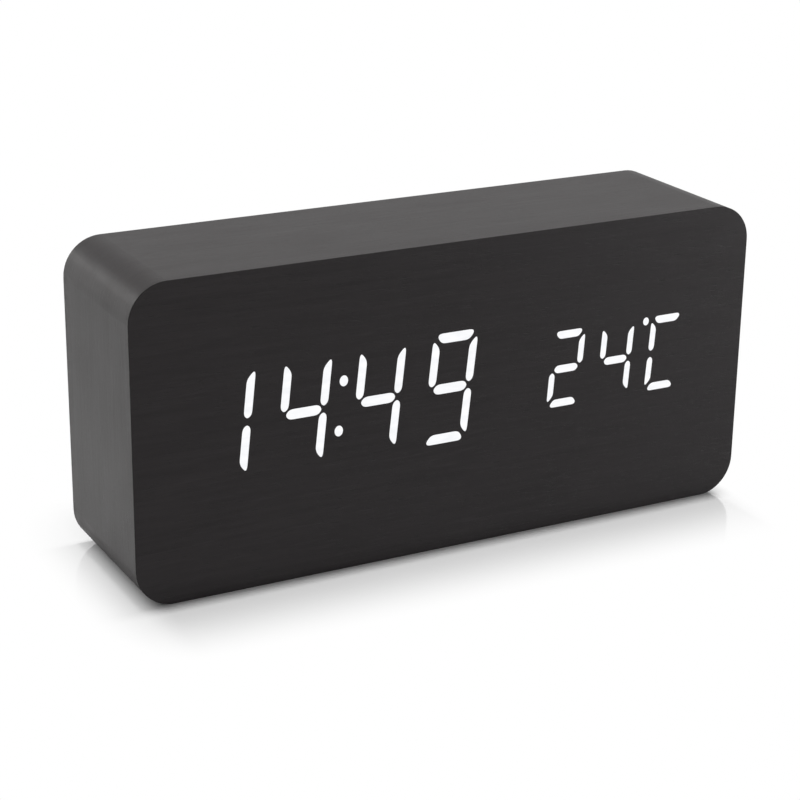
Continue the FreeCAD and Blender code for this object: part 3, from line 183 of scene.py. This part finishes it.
# ---- Black wood films ---------------------------------------------------------------------------
# Thin wood-grain film is glued round the edge of the block, with its grain running round it, and
# over the front and the rear edge. It is stained black and has fine, satin, open pores.
PORE_SIZE, STREAK_SIZE, FIGURE_SIZE, PALE_SIZE = 0.00024, 0.0012, 0.0060, 0.00060
PORE_DRAW, STREAK_DRAW, FIGURE_DRAW, PALE_DRAW = 16, 20, 3, 14
PORE_RANGE, PALE_RANGE, PALE_SHARE, STREAK_SHARE = (0.30, 0.40), (0.58, 0.74), 0.45, 0.65
FILM_RELIEF = 0.000019
STAIN_DARK, STAIN_LIGHT = (0.0082, 0.0060, 0.0068), (0.0150, 0.0122, 0.0131)
STAIN_PALE, STAIN_PORE = (0.0200, 0.0170, 0.0182), (0.0064, 0.0050, 0.0055)


def grain_film(name, run, gloss, rough):
    """Black film with a tint and a range of gloss, its grain along the axes that are marked 1."""
    def drawn(length):
        return tuple(length if along else 1 for along in run)

    film, place = finish(name, {"Specular IOR Level": 0.22, "Specular Tint": (*gloss, 1)})
    pores = ramp(noise(place, PORE_SIZE, drawn(PORE_DRAW), 2), *PORE_RANGE)
    streaks = noise(place, STREAK_SIZE, drawn(STREAK_DRAW))
    figure = noise(place, FIGURE_SIZE, drawn(FIGURE_DRAW))
    pale = ramp(noise(place, PALE_SIZE, drawn(PALE_DRAW), 2), *PALE_RANGE, 0, PALE_SHARE)
    shades = spread(streaks, 0, STREAK_SHARE) + spread(figure, 0, 1 - STREAK_SHARE)
    stained = blend(pale, blend(shades, STAIN_DARK, STAIN_LIGHT), STAIN_PALE)
    shade(film, {
        "Base Color": blend(pores, STAIN_PORE, stained),
        "Roughness": spread(figure * 0.6 + streaks * 0.4, *rough),
        "Normal": bump(pores + streaks * 1.2, FILM_RELIEF)})
    return film


flat_film = grain_film("black film, grain along the block",
                       run=(1, 0, 0), gloss=(1, 1, 1), rough=(0.375, 0.525))
wrapped_film = grain_film("black film, grain round the block",
                          run=(1, 0, 1), gloss=(1, 0.98, 0.94), rough=(0.425, 0.485))
dress(wrapped_film, "band_veneer")
dress(flat_film, "back_veneer")


def piece_of(mesh, name):
    """A new object that holds what has been made in bmesh."""
    bmesh.ops.recalc_face_normals(mesh, faces=mesh.faces)
    data = bpy.data.meshes.new(name)
    mesh.to_mesh(data)
    mesh.free()
    piece = bpy.data.objects.new(name, data)
    bpy.context.scene.collection.objects.link(piece)
    return piece


def thin_pieces(name, outlines, front, depth):
    """Flat pieces of one depth whose outlines, seen from the front, are lists of (x, z)."""
    sheet = bmesh.new()
    for outline in outlines:
        near, far = ([sheet.verts.new((x, y, z)) for x, z in outline]
                     for y in (front, front + depth))
        sheet.faces.new(near)
        sheet.faces.new(far)
        for k in range(len(near)):
            sheet.faces.new((near[k - 1], near[k], far[k], far[k - 1]))
    return piece_of(sheet, name)


def rounded_outline(low, high, radius, steps):
    """A rectangle with round corners between two (x, z) corners."""
    rim = []
    for quarter, (right, top) in enumerate(((1, 1), (0, 1), (0, 0), (1, 0))):
        centre = (high[0] - radius if right else low[0] + radius,
                  high[1] - radius if top else low[1] + radius)
        for step in range(steps + 1):
            turn = math.radians(90 * (quarter + step / steps))
            rim.append((centre[0] + radius * math.cos(turn), centre[1] + radius * math.sin(turn)))
    return rim


# the front film is one sheet, a hair behind the lit bars, and its cut edge is dull and dark
CASE_CORNER, CORNER_STEPS = 0.0085, 14
HAIR = 0.00001
EDGE_BLACK, EDGE_BROWN = (0.004, 0.0035, 0.0035), (0.010, 0.009, 0.009)
front_low, front_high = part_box("front_veneer")
film_depth = front_high.y - front_low.y
front_outline = rounded_outline((front_low.x, front_low.z), (front_high.x, front_high.z),
                                CASE_CORNER, CORNER_STEPS)
front_film = thin_pieces("front_film", [front_outline], front_low.y + HAIR, film_depth - HAIR)
cut_edge, place = finish("cut edge of the film", {"Specular IOR Level": 0.08})
layers = noise(place, 0.00012, (30, 1, 30), 2)
shade(cut_edge, {
    "Base Color": blend(spread(layers, 0, 1), EDGE_BLACK, EDGE_BROWN),
    "Roughness": spread(layers, 0.7, 0.9)})
front_film.data.materials.append(flat_film)
front_film.data.materials.append(cut_edge)
for face in front_film.data.polygons:
    face.material_index = int(abs(face.normal.y) < 0.5)
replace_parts(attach(front_film, "root"), "front_veneer")

# ---- Lit bars and dots --------------------------------------------------------------------------
# White light from the wells of the light guide shows through the front film as segment digits: the
# time on the left, and the temperature on the right. The film softens the corners of each bar.
TIME_SOFTNESS, TEMPERATURE_SOFTNESS, DOT_SOFTNESS = 0.0010, 0.0007, 0.0002
SIDE_LIMIT, CURVE_STEPS, LIGHT_INSET = 0.45, 4, 0.00003
LIGHT_DIM, LIGHT_FULL = (0.86, 0.87, 0.89), (0.95, 0.952, 0.965)


def outlines_of(node):
    """The outline, seen from the front, of each solid of a CAD node of flat pieces."""
    solids = bmesh.new()
    solids.from_mesh(nodes[node].data)
    bmesh.ops.remove_doubles(solids, verts=solids.verts, dist=1e-6)
    front = min(vert.co.y for vert in solids.verts)
    seen, outlines = set(), []
    for first in solids.verts:
        if first in seen:
            continue
        island = [first]
        for vert in island:
            seen.add(vert)
            near = [link.other_vert(vert) for link in vert.link_edges]
            island += [other for other in near if other not in island]
        rim = [Vector((v.co.x, v.co.z)) for v in island if v.co.y - front < film_depth / 2]
        middle = sum(rim, Vector((0, 0))) / len(rim)
        outlines.append(sorted(rim, key=lambda spot: math.atan2(*(spot - middle))))
    solids.free()
    return outlines


def softened(corners, reach):
    """An outline with each corner turned into a short curve, and its edge drawn in a little."""
    rim = []
    for k, corner in enumerate(corners):
        before, after = corners[k - 1] - corner, corners[(k + 1) % len(corners)] - corner
        start = corner + before * min(reach / before.length, SIDE_LIMIT)
        end = corner + after * min(reach / after.length, SIDE_LIMIT)
        for step in range(CURVE_STEPS + 1):
            t = step / CURVE_STEPS
            rim.append(start * (1 - t) ** 2 + corner * (2 * t * (1 - t)) + end * t ** 2)
    runs = [(rim[(k + 1) % len(rim)] - rim[k - 1]).normalized() for k in range(len(rim))]
    return [spot + Vector((run.y, -run.x)) * LIGHT_INSET for spot, run in zip(rim, runs)]


white_light, place = finish("white light through the film", {
    "Base Color": (0.03, 0.03, 0.032, 1), "Roughness": 0.5, "Emission Strength": 1.0})
speck = noise(place, 0.0012, (3, 1, 1))
shade(white_light, {"Emission Color": blend(spread(speck, 0, 1), LIGHT_DIM, LIGHT_FULL)})
for node, softness in (("lit_time_segments", TIME_SOFTNESS),
                       ("lit_temperature_segments", TEMPERATURE_SOFTNESS),
                       ("lit_colon", DOT_SOFTNESS), ("lit_degree_dot", DOT_SOFTNESS)):
    bars = thin_pieces(node.replace("lit_", "glowing_"),
                       [softened(rim, softness) for rim in outlines_of(node)],
                       front_low.y, film_depth / 2)
    bars.data.materials.append(white_light)
    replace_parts(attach(bars, "root"), node)

# ---- Diffuser and light guide -------------------------------------------------------------------
# A frosted film evens out the light behind the front film. The guide behind it is moulded in white
# plastic, with a well for each bar, and is held with the board by two screws through its ears.
frosted, place = finish("frosted film", {"Specular IOR Level": 0.3})
frost = noise(place, 0.0002, detail=2)
shade(frosted, {"Base Color": blend(spread(frost, 0, 1), (0.78, 0.79, 0.81), (0.86, 0.87, 0.88)),
                "Roughness": spread(frost, 0.5, 0.7), "Normal": bump(frost, 0.00001)})
dress(frosted, "diffuser_film")


def moulding(name, dark, light, rough, grain, depth, shine=0.4):
    """Moulded plastic: a faint change of tone, an uneven gloss and the relief of the mould."""
    plastic, place = finish(name, {"Specular IOR Level": shine})
    relief = noise(place, grain)
    cloud = noise(place, 0.012)
    shade(plastic, {"Base Color": blend(spread(cloud, 0, 1), dark, light),
                    "Roughness": spread(relief * 0.7 + cloud * 0.3, rough - 0.06, rough + 0.06),
                    "Normal": bump(relief, depth)})
    return plastic


dress(moulding("white moulding", (0.74, 0.74, 0.72), (0.82, 0.82, 0.81),
               rough=0.42, grain=0.0006, depth=0.000006), "light_guide")

# ---- Circuit boards and small lights ------------------------------------------------------------
# The boards are glass board under green solder mask, which shows the raised tracks. The display
# board holds one white light for each bar, behind the guide.
TRACK_PITCH, TRACK_DRAW, TRACK_WIDTH = 0.0009, 14, 0.025
MASK_GREEN, TRACK_GREEN = (0.008, 0.085, 0.035), (0.02, 0.17, 0.07)
RESIN_YELLOW, RESIN_WHITE = (0.75, 0.62, 0.22), (0.85, 0.82, 0.72)
solder_mask, place = finish("green solder mask", {})
runs = noise(place, TRACK_PITCH, (TRACK_DRAW, 1, 1), 0)
crossings = noise(place, TRACK_PITCH, (1, 1, TRACK_DRAW), 0)
tracks = (abs(runs - 0.5) < TRACK_WIDTH).math("MAXIMUM", abs(crossings - 0.5) < TRACK_WIDTH)
shade(solder_mask, {"Base Color": blend(tracks, MASK_GREEN, TRACK_GREEN),
                    "Roughness": spread(runs, 0.28, 0.4), "Normal": bump(tracks, 0.00003)})
dress(solder_mask, "display_board", "button_board", "power_board")

light_lens, place = finish("small light with its resin lens", {})
resin = noise(place, 0.0005, detail=1)
shade(light_lens, {"Base Color": blend(spread(resin, 0, 1), RESIN_YELLOW, RESIN_WHITE),
                   "Roughness": spread(resin, 0.15, 0.3)})
dress(light_lens, "segment_leds")

# ---- Screws -------------------------------------------------------------------------------------
# Zinc plated screws with cross recesses are driven from behind: two with flat heads hold the
# display board, and four with coned heads, flush with its face, hold the back cover.
SCREW_HEAD, SCREW_SHANK, SCREW_ROOT, THREAD_PITCH = 0.0024, 0.0011, 0.00085, 0.0008
FLAT_HEAD_HEIGHT, FLAT_HEAD_ROUNDING = 0.0015, 0.0004
CROSS_REACH, CROSS_HALF_WIDTH, CROSS_DEPTH, CROSS_TAPER = 0.0015, 0.00032, 0.0009, 0.6
SCREW_SIDES = 32


def turned(mesh, x, z, profile, steps):
    """Add a (radius, y) profile, turned about the depth axis, and give its first rim."""
    rims = []
    for radius, y in profile:
        turns = [2 * math.pi * step / steps for step in range(steps if radius else 1)]
        rims.append([mesh.verts.new((x + radius * math.cos(turn), y, z + radius * math.sin(turn)))
                     for turn in turns])
    for near, far in zip(rims, rims[1:]):
        for k in range(steps):
            corners = (near[k % len(near)], near[(k + 1) % len(near)],
                       far[(k + 1) % len(far)], far[k % len(far)])
            mesh.faces.new(list(dict.fromkeys(corners)))
    return rims[0]


def loop_edges(mesh, rim):
    """The edges of a closed rim, made where they aren't there yet."""
    return [mesh.edges.get(pair) or mesh.edges.new(pair) for pair in zip(rim, rim[1:] + rim[:1])]


def add_screw(mesh, x, z, top, tip, coned):
    """Add a screw whose head's face is at top and whose point is at tip, both along the depth."""
    if coned:
        head = [(SCREW_HEAD, top), (SCREW_SHANK, top - (SCREW_HEAD - SCREW_SHANK))]
    else:
        head = [(SCREW_HEAD - FLAT_HEAD_ROUNDING, top), (SCREW_HEAD, top - FLAT_HEAD_ROUNDING),
                (SCREW_HEAD, top - FLAT_HEAD_HEIGHT), (SCREW_SHANK, top - FLAT_HEAD_HEIGHT)]
    threads = []
    y = head[-1][1] - THREAD_PITCH
    while y > tip + 2 * THREAD_PITCH:
        threads += [(SCREW_ROOT, y), (SCREW_SHANK, y - THREAD_PITCH / 2)]
        y -= THREAD_PITCH
    point = [(SCREW_ROOT, tip + THREAD_PITCH), (0, tip)]
    rim = turned(mesh, x, z, head + threads + point, SCREW_SIDES)
    outline = []
    arm = [(CROSS_REACH, -CROSS_HALF_WIDTH), (CROSS_REACH, CROSS_HALF_WIDTH),
           (CROSS_HALF_WIDTH, CROSS_HALF_WIDTH)]
    for _ in range(4):
        outline += arm
        arm = [(-v, u) for u, v in arm]
    brink = [mesh.verts.new((x + u, top, z + v)) for u, v in outline]
    floor = [mesh.verts.new((x + u * CROSS_TAPER, top - CROSS_DEPTH, z + v * CROSS_TAPER))
             for u, v in outline]
    bmesh.ops.triangle_fill(mesh, use_beauty=True,
                            edges=loop_edges(mesh, rim) + loop_edges(mesh, brink))
    for k in range(len(brink)):
        mesh.faces.new((brink[k - 1], brink[k], floor[k], floor[k - 1]))
    mesh.faces.new(floor)


zinc, place = finish("zinc plated steel", {"Metallic": 1.0})
scratches = noise(place, 0.0004, (1, 1, 6), 4)
shade(zinc, {"Base Color": blend(spread(scratches, 0, 1), (0.42, 0.42, 0.43), (0.62, 0.62, 0.62)),
             "Roughness": spread(scratches, 0.26, 0.42), "Normal": bump(scratches, 0.000004)})
for node, coned, corners in (("cover_screws", True, ((0, 0), (0, 1), (1, 0), (1, 1))),
                             ("board_screws", False, ((0, 1), (1, 0)))):
    low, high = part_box(node)
    steel = bmesh.new()
    for right, upper in corners:
        add_screw(steel, high.x - SCREW_HEAD if right else low.x + SCREW_HEAD,
                  high.z - SCREW_HEAD if upper else low.z + SCREW_HEAD, high.y, low.y, coned)
    screws = piece_of(steel, f"crossed_{node}")
    screws.data.materials.append(zinc)
    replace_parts(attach(screws, "root"), node)

# ---- Parts on the back of the display board -----------------------------------------------------
# Two moulded chips on bent leads, a crystal, a coin cell in its holder, a buzzer, a capacitor, a
# row of chip resistors and four shrouded sockets, all soldered to the board.
dress(moulding("moulded chip", (0.012, 0.012, 0.013), (0.022, 0.022, 0.023),
               rough=0.55, grain=0.0002, depth=0.00001),
      "control_chip", "driver_chip", "voltage_regulator")
dress(moulding("black part", (0.014, 0.014, 0.015), (0.024, 0.024, 0.025),
               rough=0.42, grain=0.0005, depth=0.000008),
      "buzzer", "coin_cell_holder", "switch_bodies", "power_socket_tongue")
dress(moulding("ceramic", (0.02, 0.02, 0.025), (0.05, 0.05, 0.055),
               rough=0.3, grain=0.0003, depth=0.000006), "chip_resistors")
dress(moulding("natural nylon", (0.70, 0.66, 0.56), (0.80, 0.77, 0.68),
               rough=0.4, grain=0.0007, depth=0.00001), "cable_sockets", "cable_plugs")
dress(moulding("dipped resin", (0.010, 0.010, 0.010), (0.03, 0.03, 0.03),
               rough=0.25, grain=0.0009, depth=0.00002), "thermistor")


def plate(name, dark, light, rough, stretch):
    """Bare or plated metal with fine drawn scratches and faint stains."""
    metal, place = finish(name, {"Metallic": 1.0})
    scratches = noise(place, 0.0002, stretch, 4)
    stains = noise(place, 0.004)
    shade(metal, {"Base Color": blend(spread(stains, 0, 1), dark, light),
                  "Roughness": spread(scratches, rough - 0.08, rough + 0.08),
                  "Normal": bump(scratches, 0.000003)})
    return metal


dress(plate("tinned copper", (0.55, 0.55, 0.54), (0.72, 0.72, 0.71),
            rough=0.3, stretch=(1, 1, 1)), "chip_leads")
dress(plate("can aluminium", (0.66, 0.66, 0.67), (0.78, 0.78, 0.79),
            rough=0.32, stretch=(1, 8, 1)), "smoothing_capacitor", "sound_sensor")
dress(plate("nickel plate", (0.58, 0.56, 0.52), (0.74, 0.72, 0.68),
            rough=0.22, stretch=(6, 1, 1)),
      "clock_crystal", "coin_cell", "battery_springs", "battery_plates", "terminal_tabs",
      "power_socket_shell")

# ---- Back cover and battery door ----------------------------------------------------------------
# The cover is one black moulding with a fine spark-eroded face, let into the back of the block: its
# tray holds four cells. The door hooks in at its foot and its springy latch clicks in at its head.
MARK_REACH, MARK_SIZE, MARK_THICKNESS, DOT_SIDES = 0.0080, 0.0011, 0.00003, 24
dress(moulding("spark-eroded black", (0.012, 0.012, 0.0125), (0.019, 0.019, 0.0195),
               rough=0.55, grain=0.00022, depth=0.00002), "back_cover", "battery_door")

# a mark is printed in grey beside each button: a dot to set, and an arrowhead up and down
printing_ink, place = finish("grey printing ink", {"Specular IOR Level": 0.3})
grit = noise(place, 0.0003)
shade(printing_ink, {
    "Base Color": blend(spread(grit, 0, 1), (0.42, 0.42, 0.42), (0.52, 0.52, 0.52)),
    "Roughness": spread(grit, 0.5, 0.65)})
for button, turns in (("set", [360 * k / DOT_SIDES for k in range(DOT_SIDES)]),
                      ("up", (90, 210, 330)), ("down", (270, 30, 150))):
    low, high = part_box(f"{button}_button_cap")
    x, z = (low.x + high.x) / 2 - MARK_REACH, (low.z + high.z) / 2
    outline = [(x + MARK_SIZE * math.cos(math.radians(turn)),
                z + MARK_SIZE * math.sin(math.radians(turn))) for turn in turns]
    mark = thin_pieces(f"{button}_mark", [outline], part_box("back_cover")[1].y, MARK_THICKNESS)
    mark.data.materials.append(printing_ink)
    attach(mark, "root")

# ---- Cells --------------------------------------------------------------------------------------
# Four dry cells lie in rows, each turned end for end from the one below. Each is a steel can in a
# printed plastic wrap, with its ends bare and a plus at its nub.
WRAP_BLUE, WRAP_SAND, CELL_STEEL = (0.006, 0.05, 0.085), (0.55, 0.50, 0.40), (0.62, 0.61, 0.60)
WRAP_ENDS, BAND_START, PLUS_AT = (-0.0189, 0.0242), 0.0125, 0.0185
PLUS_REACH, PLUS_HALF_WIDTH = 0.0016, 0.00035
cells_low, cells_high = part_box("battery_cells")
row_pitch = (cells_high.z - cells_low.z) / 4
wrap, place = finish("cell in its wrap", {"Specular IOR Level": 0.4})
rows = (axis(place, "Z") - cells_low.z) * (1 / row_pitch)
row = rows.math("FLOOR")
to_nub = axis(place, "X") * (row.math("MODULO", 2) * 2 - 1)
banded = to_nub > BAND_START
bare = (to_nub > WRAP_ENDS[1]).math("MAXIMUM", to_nub < WRAP_ENDS[0])
across, upwards = abs(to_nub - PLUS_AT), abs(rows - row - 0.5) * row_pitch
plus = ((across < PLUS_REACH) * (upwards < PLUS_HALF_WIDTH)).math(
    "MAXIMUM", (upwards < PLUS_REACH) * (across < PLUS_HALF_WIDTH))
printed = blend(plus, blend(banded, WRAP_BLUE, WRAP_SAND), WRAP_BLUE)
scuffs = noise(place, 0.003, detail=4)
shade(wrap, {"Base Color": blend(bare, printed, CELL_STEEL), "Metallic": bare,
             "Roughness": spread(scuffs, 0.22, 0.38)})
dress(wrap, "battery_cells")

# ---- Buttons and switches -----------------------------------------------------------------------
# Three smooth black caps stand a little proud of the cover, each on the plunger of a switch. A
# flange behind the cover keeps each cap in, and its face is dished to the fingertip.
CAP_FACE, CAP_FLANGE, FLANGE_THICKNESS = 0.0033, 0.0044, 0.0011
CAP_ROUNDING, CAP_DISH, CAP_SIDES, ROUNDING_STEP = 0.0004, 0.00022, 48, 18
cap_black = moulding("smooth black cap", (0.016, 0.016, 0.017), (0.024, 0.024, 0.025),
                     rough=0.3, grain=0.0008, depth=0.000004, shine=0.5)
for button in ("set", "up", "down"):
    low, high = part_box(f"{button}_button_cap")
    rounding = [(CAP_FACE - CAP_ROUNDING * (1 - math.cos(math.radians(turn))),
                 high.y - CAP_ROUNDING * (1 - math.sin(math.radians(turn))))
                for turn in range(0, 91, ROUNDING_STEP)]
    dish = [(rounding[-1][0] * share, high.y - CAP_DISH * (1 - share ** 2))
            for share in (0.85, 0.65, 0.45, 0.2, 0)]
    plastic = bmesh.new()
    turned(plastic, (low.x + high.x) / 2, (low.z + high.z) / 2,
           [(0, low.y), (CAP_FLANGE, low.y), (CAP_FLANGE, low.y + FLANGE_THICKNESS),
            (CAP_FACE, low.y + FLANGE_THICKNESS)] + rounding + dish, CAP_SIDES)
    cap = piece_of(plastic, f"dished_{button}_cap")
    cap.data.materials.append(cap_black)
    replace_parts(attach(cap, f"{button}_button"), f"{button}_button_cap")
dress(moulding("plunger black", (0.02, 0.02, 0.02), (0.03, 0.03, 0.03),
               rough=0.45, grain=0.0005, depth=0.000006),
      "set_switch_plunger", "up_switch_plunger", "down_switch_plunger")

# ---- Cables -------------------------------------------------------------------------------------
# Flat cables join the small boards to the display board, through plugs, and a red and a black lead
# bring it the power of the cells. All are fine copper strands in soft coloured insulation.


def insulation(name, dark, light):
    """Soft insulation whose wire ridges show in relief and as painted shade and highlight."""
    jacket, place = finish(name, {"Specular IOR Level": 0.35})
    ridges_and_painted_shade = noise(place, 0.0006, (1, 12, 1), 1)
    # tone follows the relief: painted shade between the wires, a painted highlight on ridges
    shade(jacket, {"Base Color": blend(spread(ridges_and_painted_shade, 0, 1), dark, light),
                   "Roughness": spread(ridges_and_painted_shade, 0.42, 0.6), "Normal": bump(ridges_and_painted_shade, 0.00006)})
    return jacket


dress(insulation("grey flat cable", (0.26, 0.27, 0.29), (0.38, 0.39, 0.41)),
      "button_cable", "power_cable", "sound_cable")
dress(insulation("red lead", (0.36, 0.012, 0.01), (0.50, 0.03, 0.02)), "red_battery_lead")
dress(insulation("black lead", (0.012, 0.012, 0.012), (0.024, 0.024, 0.024)), "black_battery_lead")

# ---- Table and lamps ----------------------------------------------------------------------------
# The block stands on a polished white table under one long soft lamp, with three smaller ones
# lower down. Away from the block, and sooner at its ends, the table fades to the surround's white:
# for the camera this is white painted over the table's shadow and reflection, and beside the ends
# a share of it reaches close to the block.
FADE, END_VEIL, VEIL_SHARE = (0.0020, 0.0275), (0.0, 0.0110), 0.42
END_INSET, LEFT_PACE, RIGHT_PACE = 0.0060, 1.6, 4.5
SURROUND, TABLE_SIZE, LAMP_AIM = 0.22, 6, 0.03
table_top, place = finish("polished white table", {"Roughness": 0.09, "IOR": 2.6})
haze = noise(place, 0.05, detail=2)
shade(table_top, {"Base Color": blend(spread(haze, 0, 1), (0.87, 0.87, 0.87), (0.89, 0.89, 0.89))})


def ray(place, kind):
    """1 on the rays of one kind, and 0 on the others."""
    return place.node("ShaderNodeLightPath", {}, {}, f"Is {kind} Ray")


# painted white over the table's shadow and reflection: a share beside the ends, all of it far off
leftwards, rightwards = (
    (axis(place, "X") * side - (cad_box[1].x - END_INSET)).math("MAXIMUM", 0) * pace
    for side, pace in ((-1, LEFT_PACE), (1, RIGHT_PACE)))
sideways = leftwards + rightwards
endways = (abs(axis(place, "Y")) - cad_box[1].y).math("MAXIMUM", 0)
gap = (sideways * sideways + endways * endways).math("SQRT")
veil, fade = (reach.node("ShaderNodeMapRange", {"interpolation_type": "SMOOTHSTEP"},
                         {0: reach, 1: start, 2: end, 4: share})
              for reach, (start, end), share in ((sideways, END_VEIL, VEIL_SHARE), (gap, FADE, 1)))
painted_white_share = 1 - (1 - veil) * (1 - fade)
white = place.node("ShaderNodeEmission", {}, {"Color": (1, 1, 1, 1), "Strength": 1})
polish = Wire(place.tree, place.tree.nodes["Principled BSDF"].outputs["BSDF"])
surface = place.node("ShaderNodeMixShader", {},
                     {0: painted_white_share * ray(place, "Camera"), 1: polish, 2: white})
place.tree.links.new(surface.socket, place.tree.nodes["Material Output"].inputs["Surface"])
bpy.ops.mesh.primitive_plane_add(size=TABLE_SIZE, location=(0, 0, 0))
table = bpy.context.object
table.name = "table"
table.data.materials.append(table_top)

world = bpy.data.worlds.new("studio")
bpy.context.scene.world = world
world.use_nodes = True
air = Wire(world.node_tree)
seen = ray(air, "Camera")
for kind in ("Glossy", "Transmission"):
    seen = seen.math("MAXIMUM", ray(air, kind))
strength = seen * (1 - SURROUND) + SURROUND
background = world.node_tree.nodes["Background"]
background.inputs["Color"].default_value = (1, 1, 1, 1)
world.node_tree.links.new(strength.socket, background.inputs["Strength"])


def soft_lamp(name, spot, width, height, energy):
    """A lamp with a soft cover, turned to the block."""
    lamp = bpy.data.lights.new(name, "AREA")
    lamp.shape, lamp.size, lamp.size_y, lamp.energy = "RECTANGLE", width, height, energy
    stand = bpy.data.objects.new(name, lamp)
    stand.location = spot
    towards = Vector((0, 0, LAMP_AIM)) - stand.location
    stand.rotation_euler = towards.to_track_quat("-Z", "Y").to_euler()
    bpy.context.scene.collection.objects.link(stand)


soft_lamp("overhead lamp", (0, 0.022, 1.25), width=0.50, height=0.065, energy=11.2)
soft_lamp("rear left lamp", (-0.60, 0.97, 0.42), width=0.25, height=0.25, energy=1.75)
soft_lamp("low rear left lamp", (-0.72, 0.97, 0.11), width=0.30, height=0.18, energy=0.65)
soft_lamp("front right lamp", (1.05, -0.85, 0.22), width=0.4, height=0.4, energy=5.0)

# ---- Camera -------------------------------------------------------------------------------------
# The camera stands to the left of the front and a little above it, with a long lens. It is turned
# a hair about its line of sight, and aims a little to the left of the block's middle and below it.
AZIMUTH, ELEVATION, ROLL = math.radians(-28.222), math.radians(20.053), math.radians(0.781)
DISTANCE, FOCAL_LENGTH, SENSOR_WIDTH = 0.47071, 94.53, 36
AIM_LEFT, AIM_DROP = 0.003636, 0.006387
back = Vector((math.sin(AZIMUTH) * math.cos(ELEVATION), -math.cos(AZIMUTH) * math.cos(ELEVATION),
               math.sin(ELEVATION)))
level = Vector((math.cos(AZIMUTH), math.sin(AZIMUTH), 0))
right = level * math.cos(ROLL) + back.cross(level) * math.sin(ROLL)
upright = back.cross(right)
aim = (cad_box[0] + cad_box[1]) / 2 - right * AIM_LEFT - upright * AIM_DROP
lens = bpy.data.cameras.new("camera")
lens.lens, lens.sensor_width = FOCAL_LENGTH, SENSOR_WIDTH
camera = bpy.data.objects.new("camera", lens)
camera.matrix_world = Matrix.Translation(aim + back * DISTANCE) @ Matrix(
    (right, upright, back)).transposed().to_4x4()
bpy.context.scene.collection.objects.link(camera)
bpy.context.scene.camera = camera
bpy.context.scene.view_settings.view_transform = "Standard"
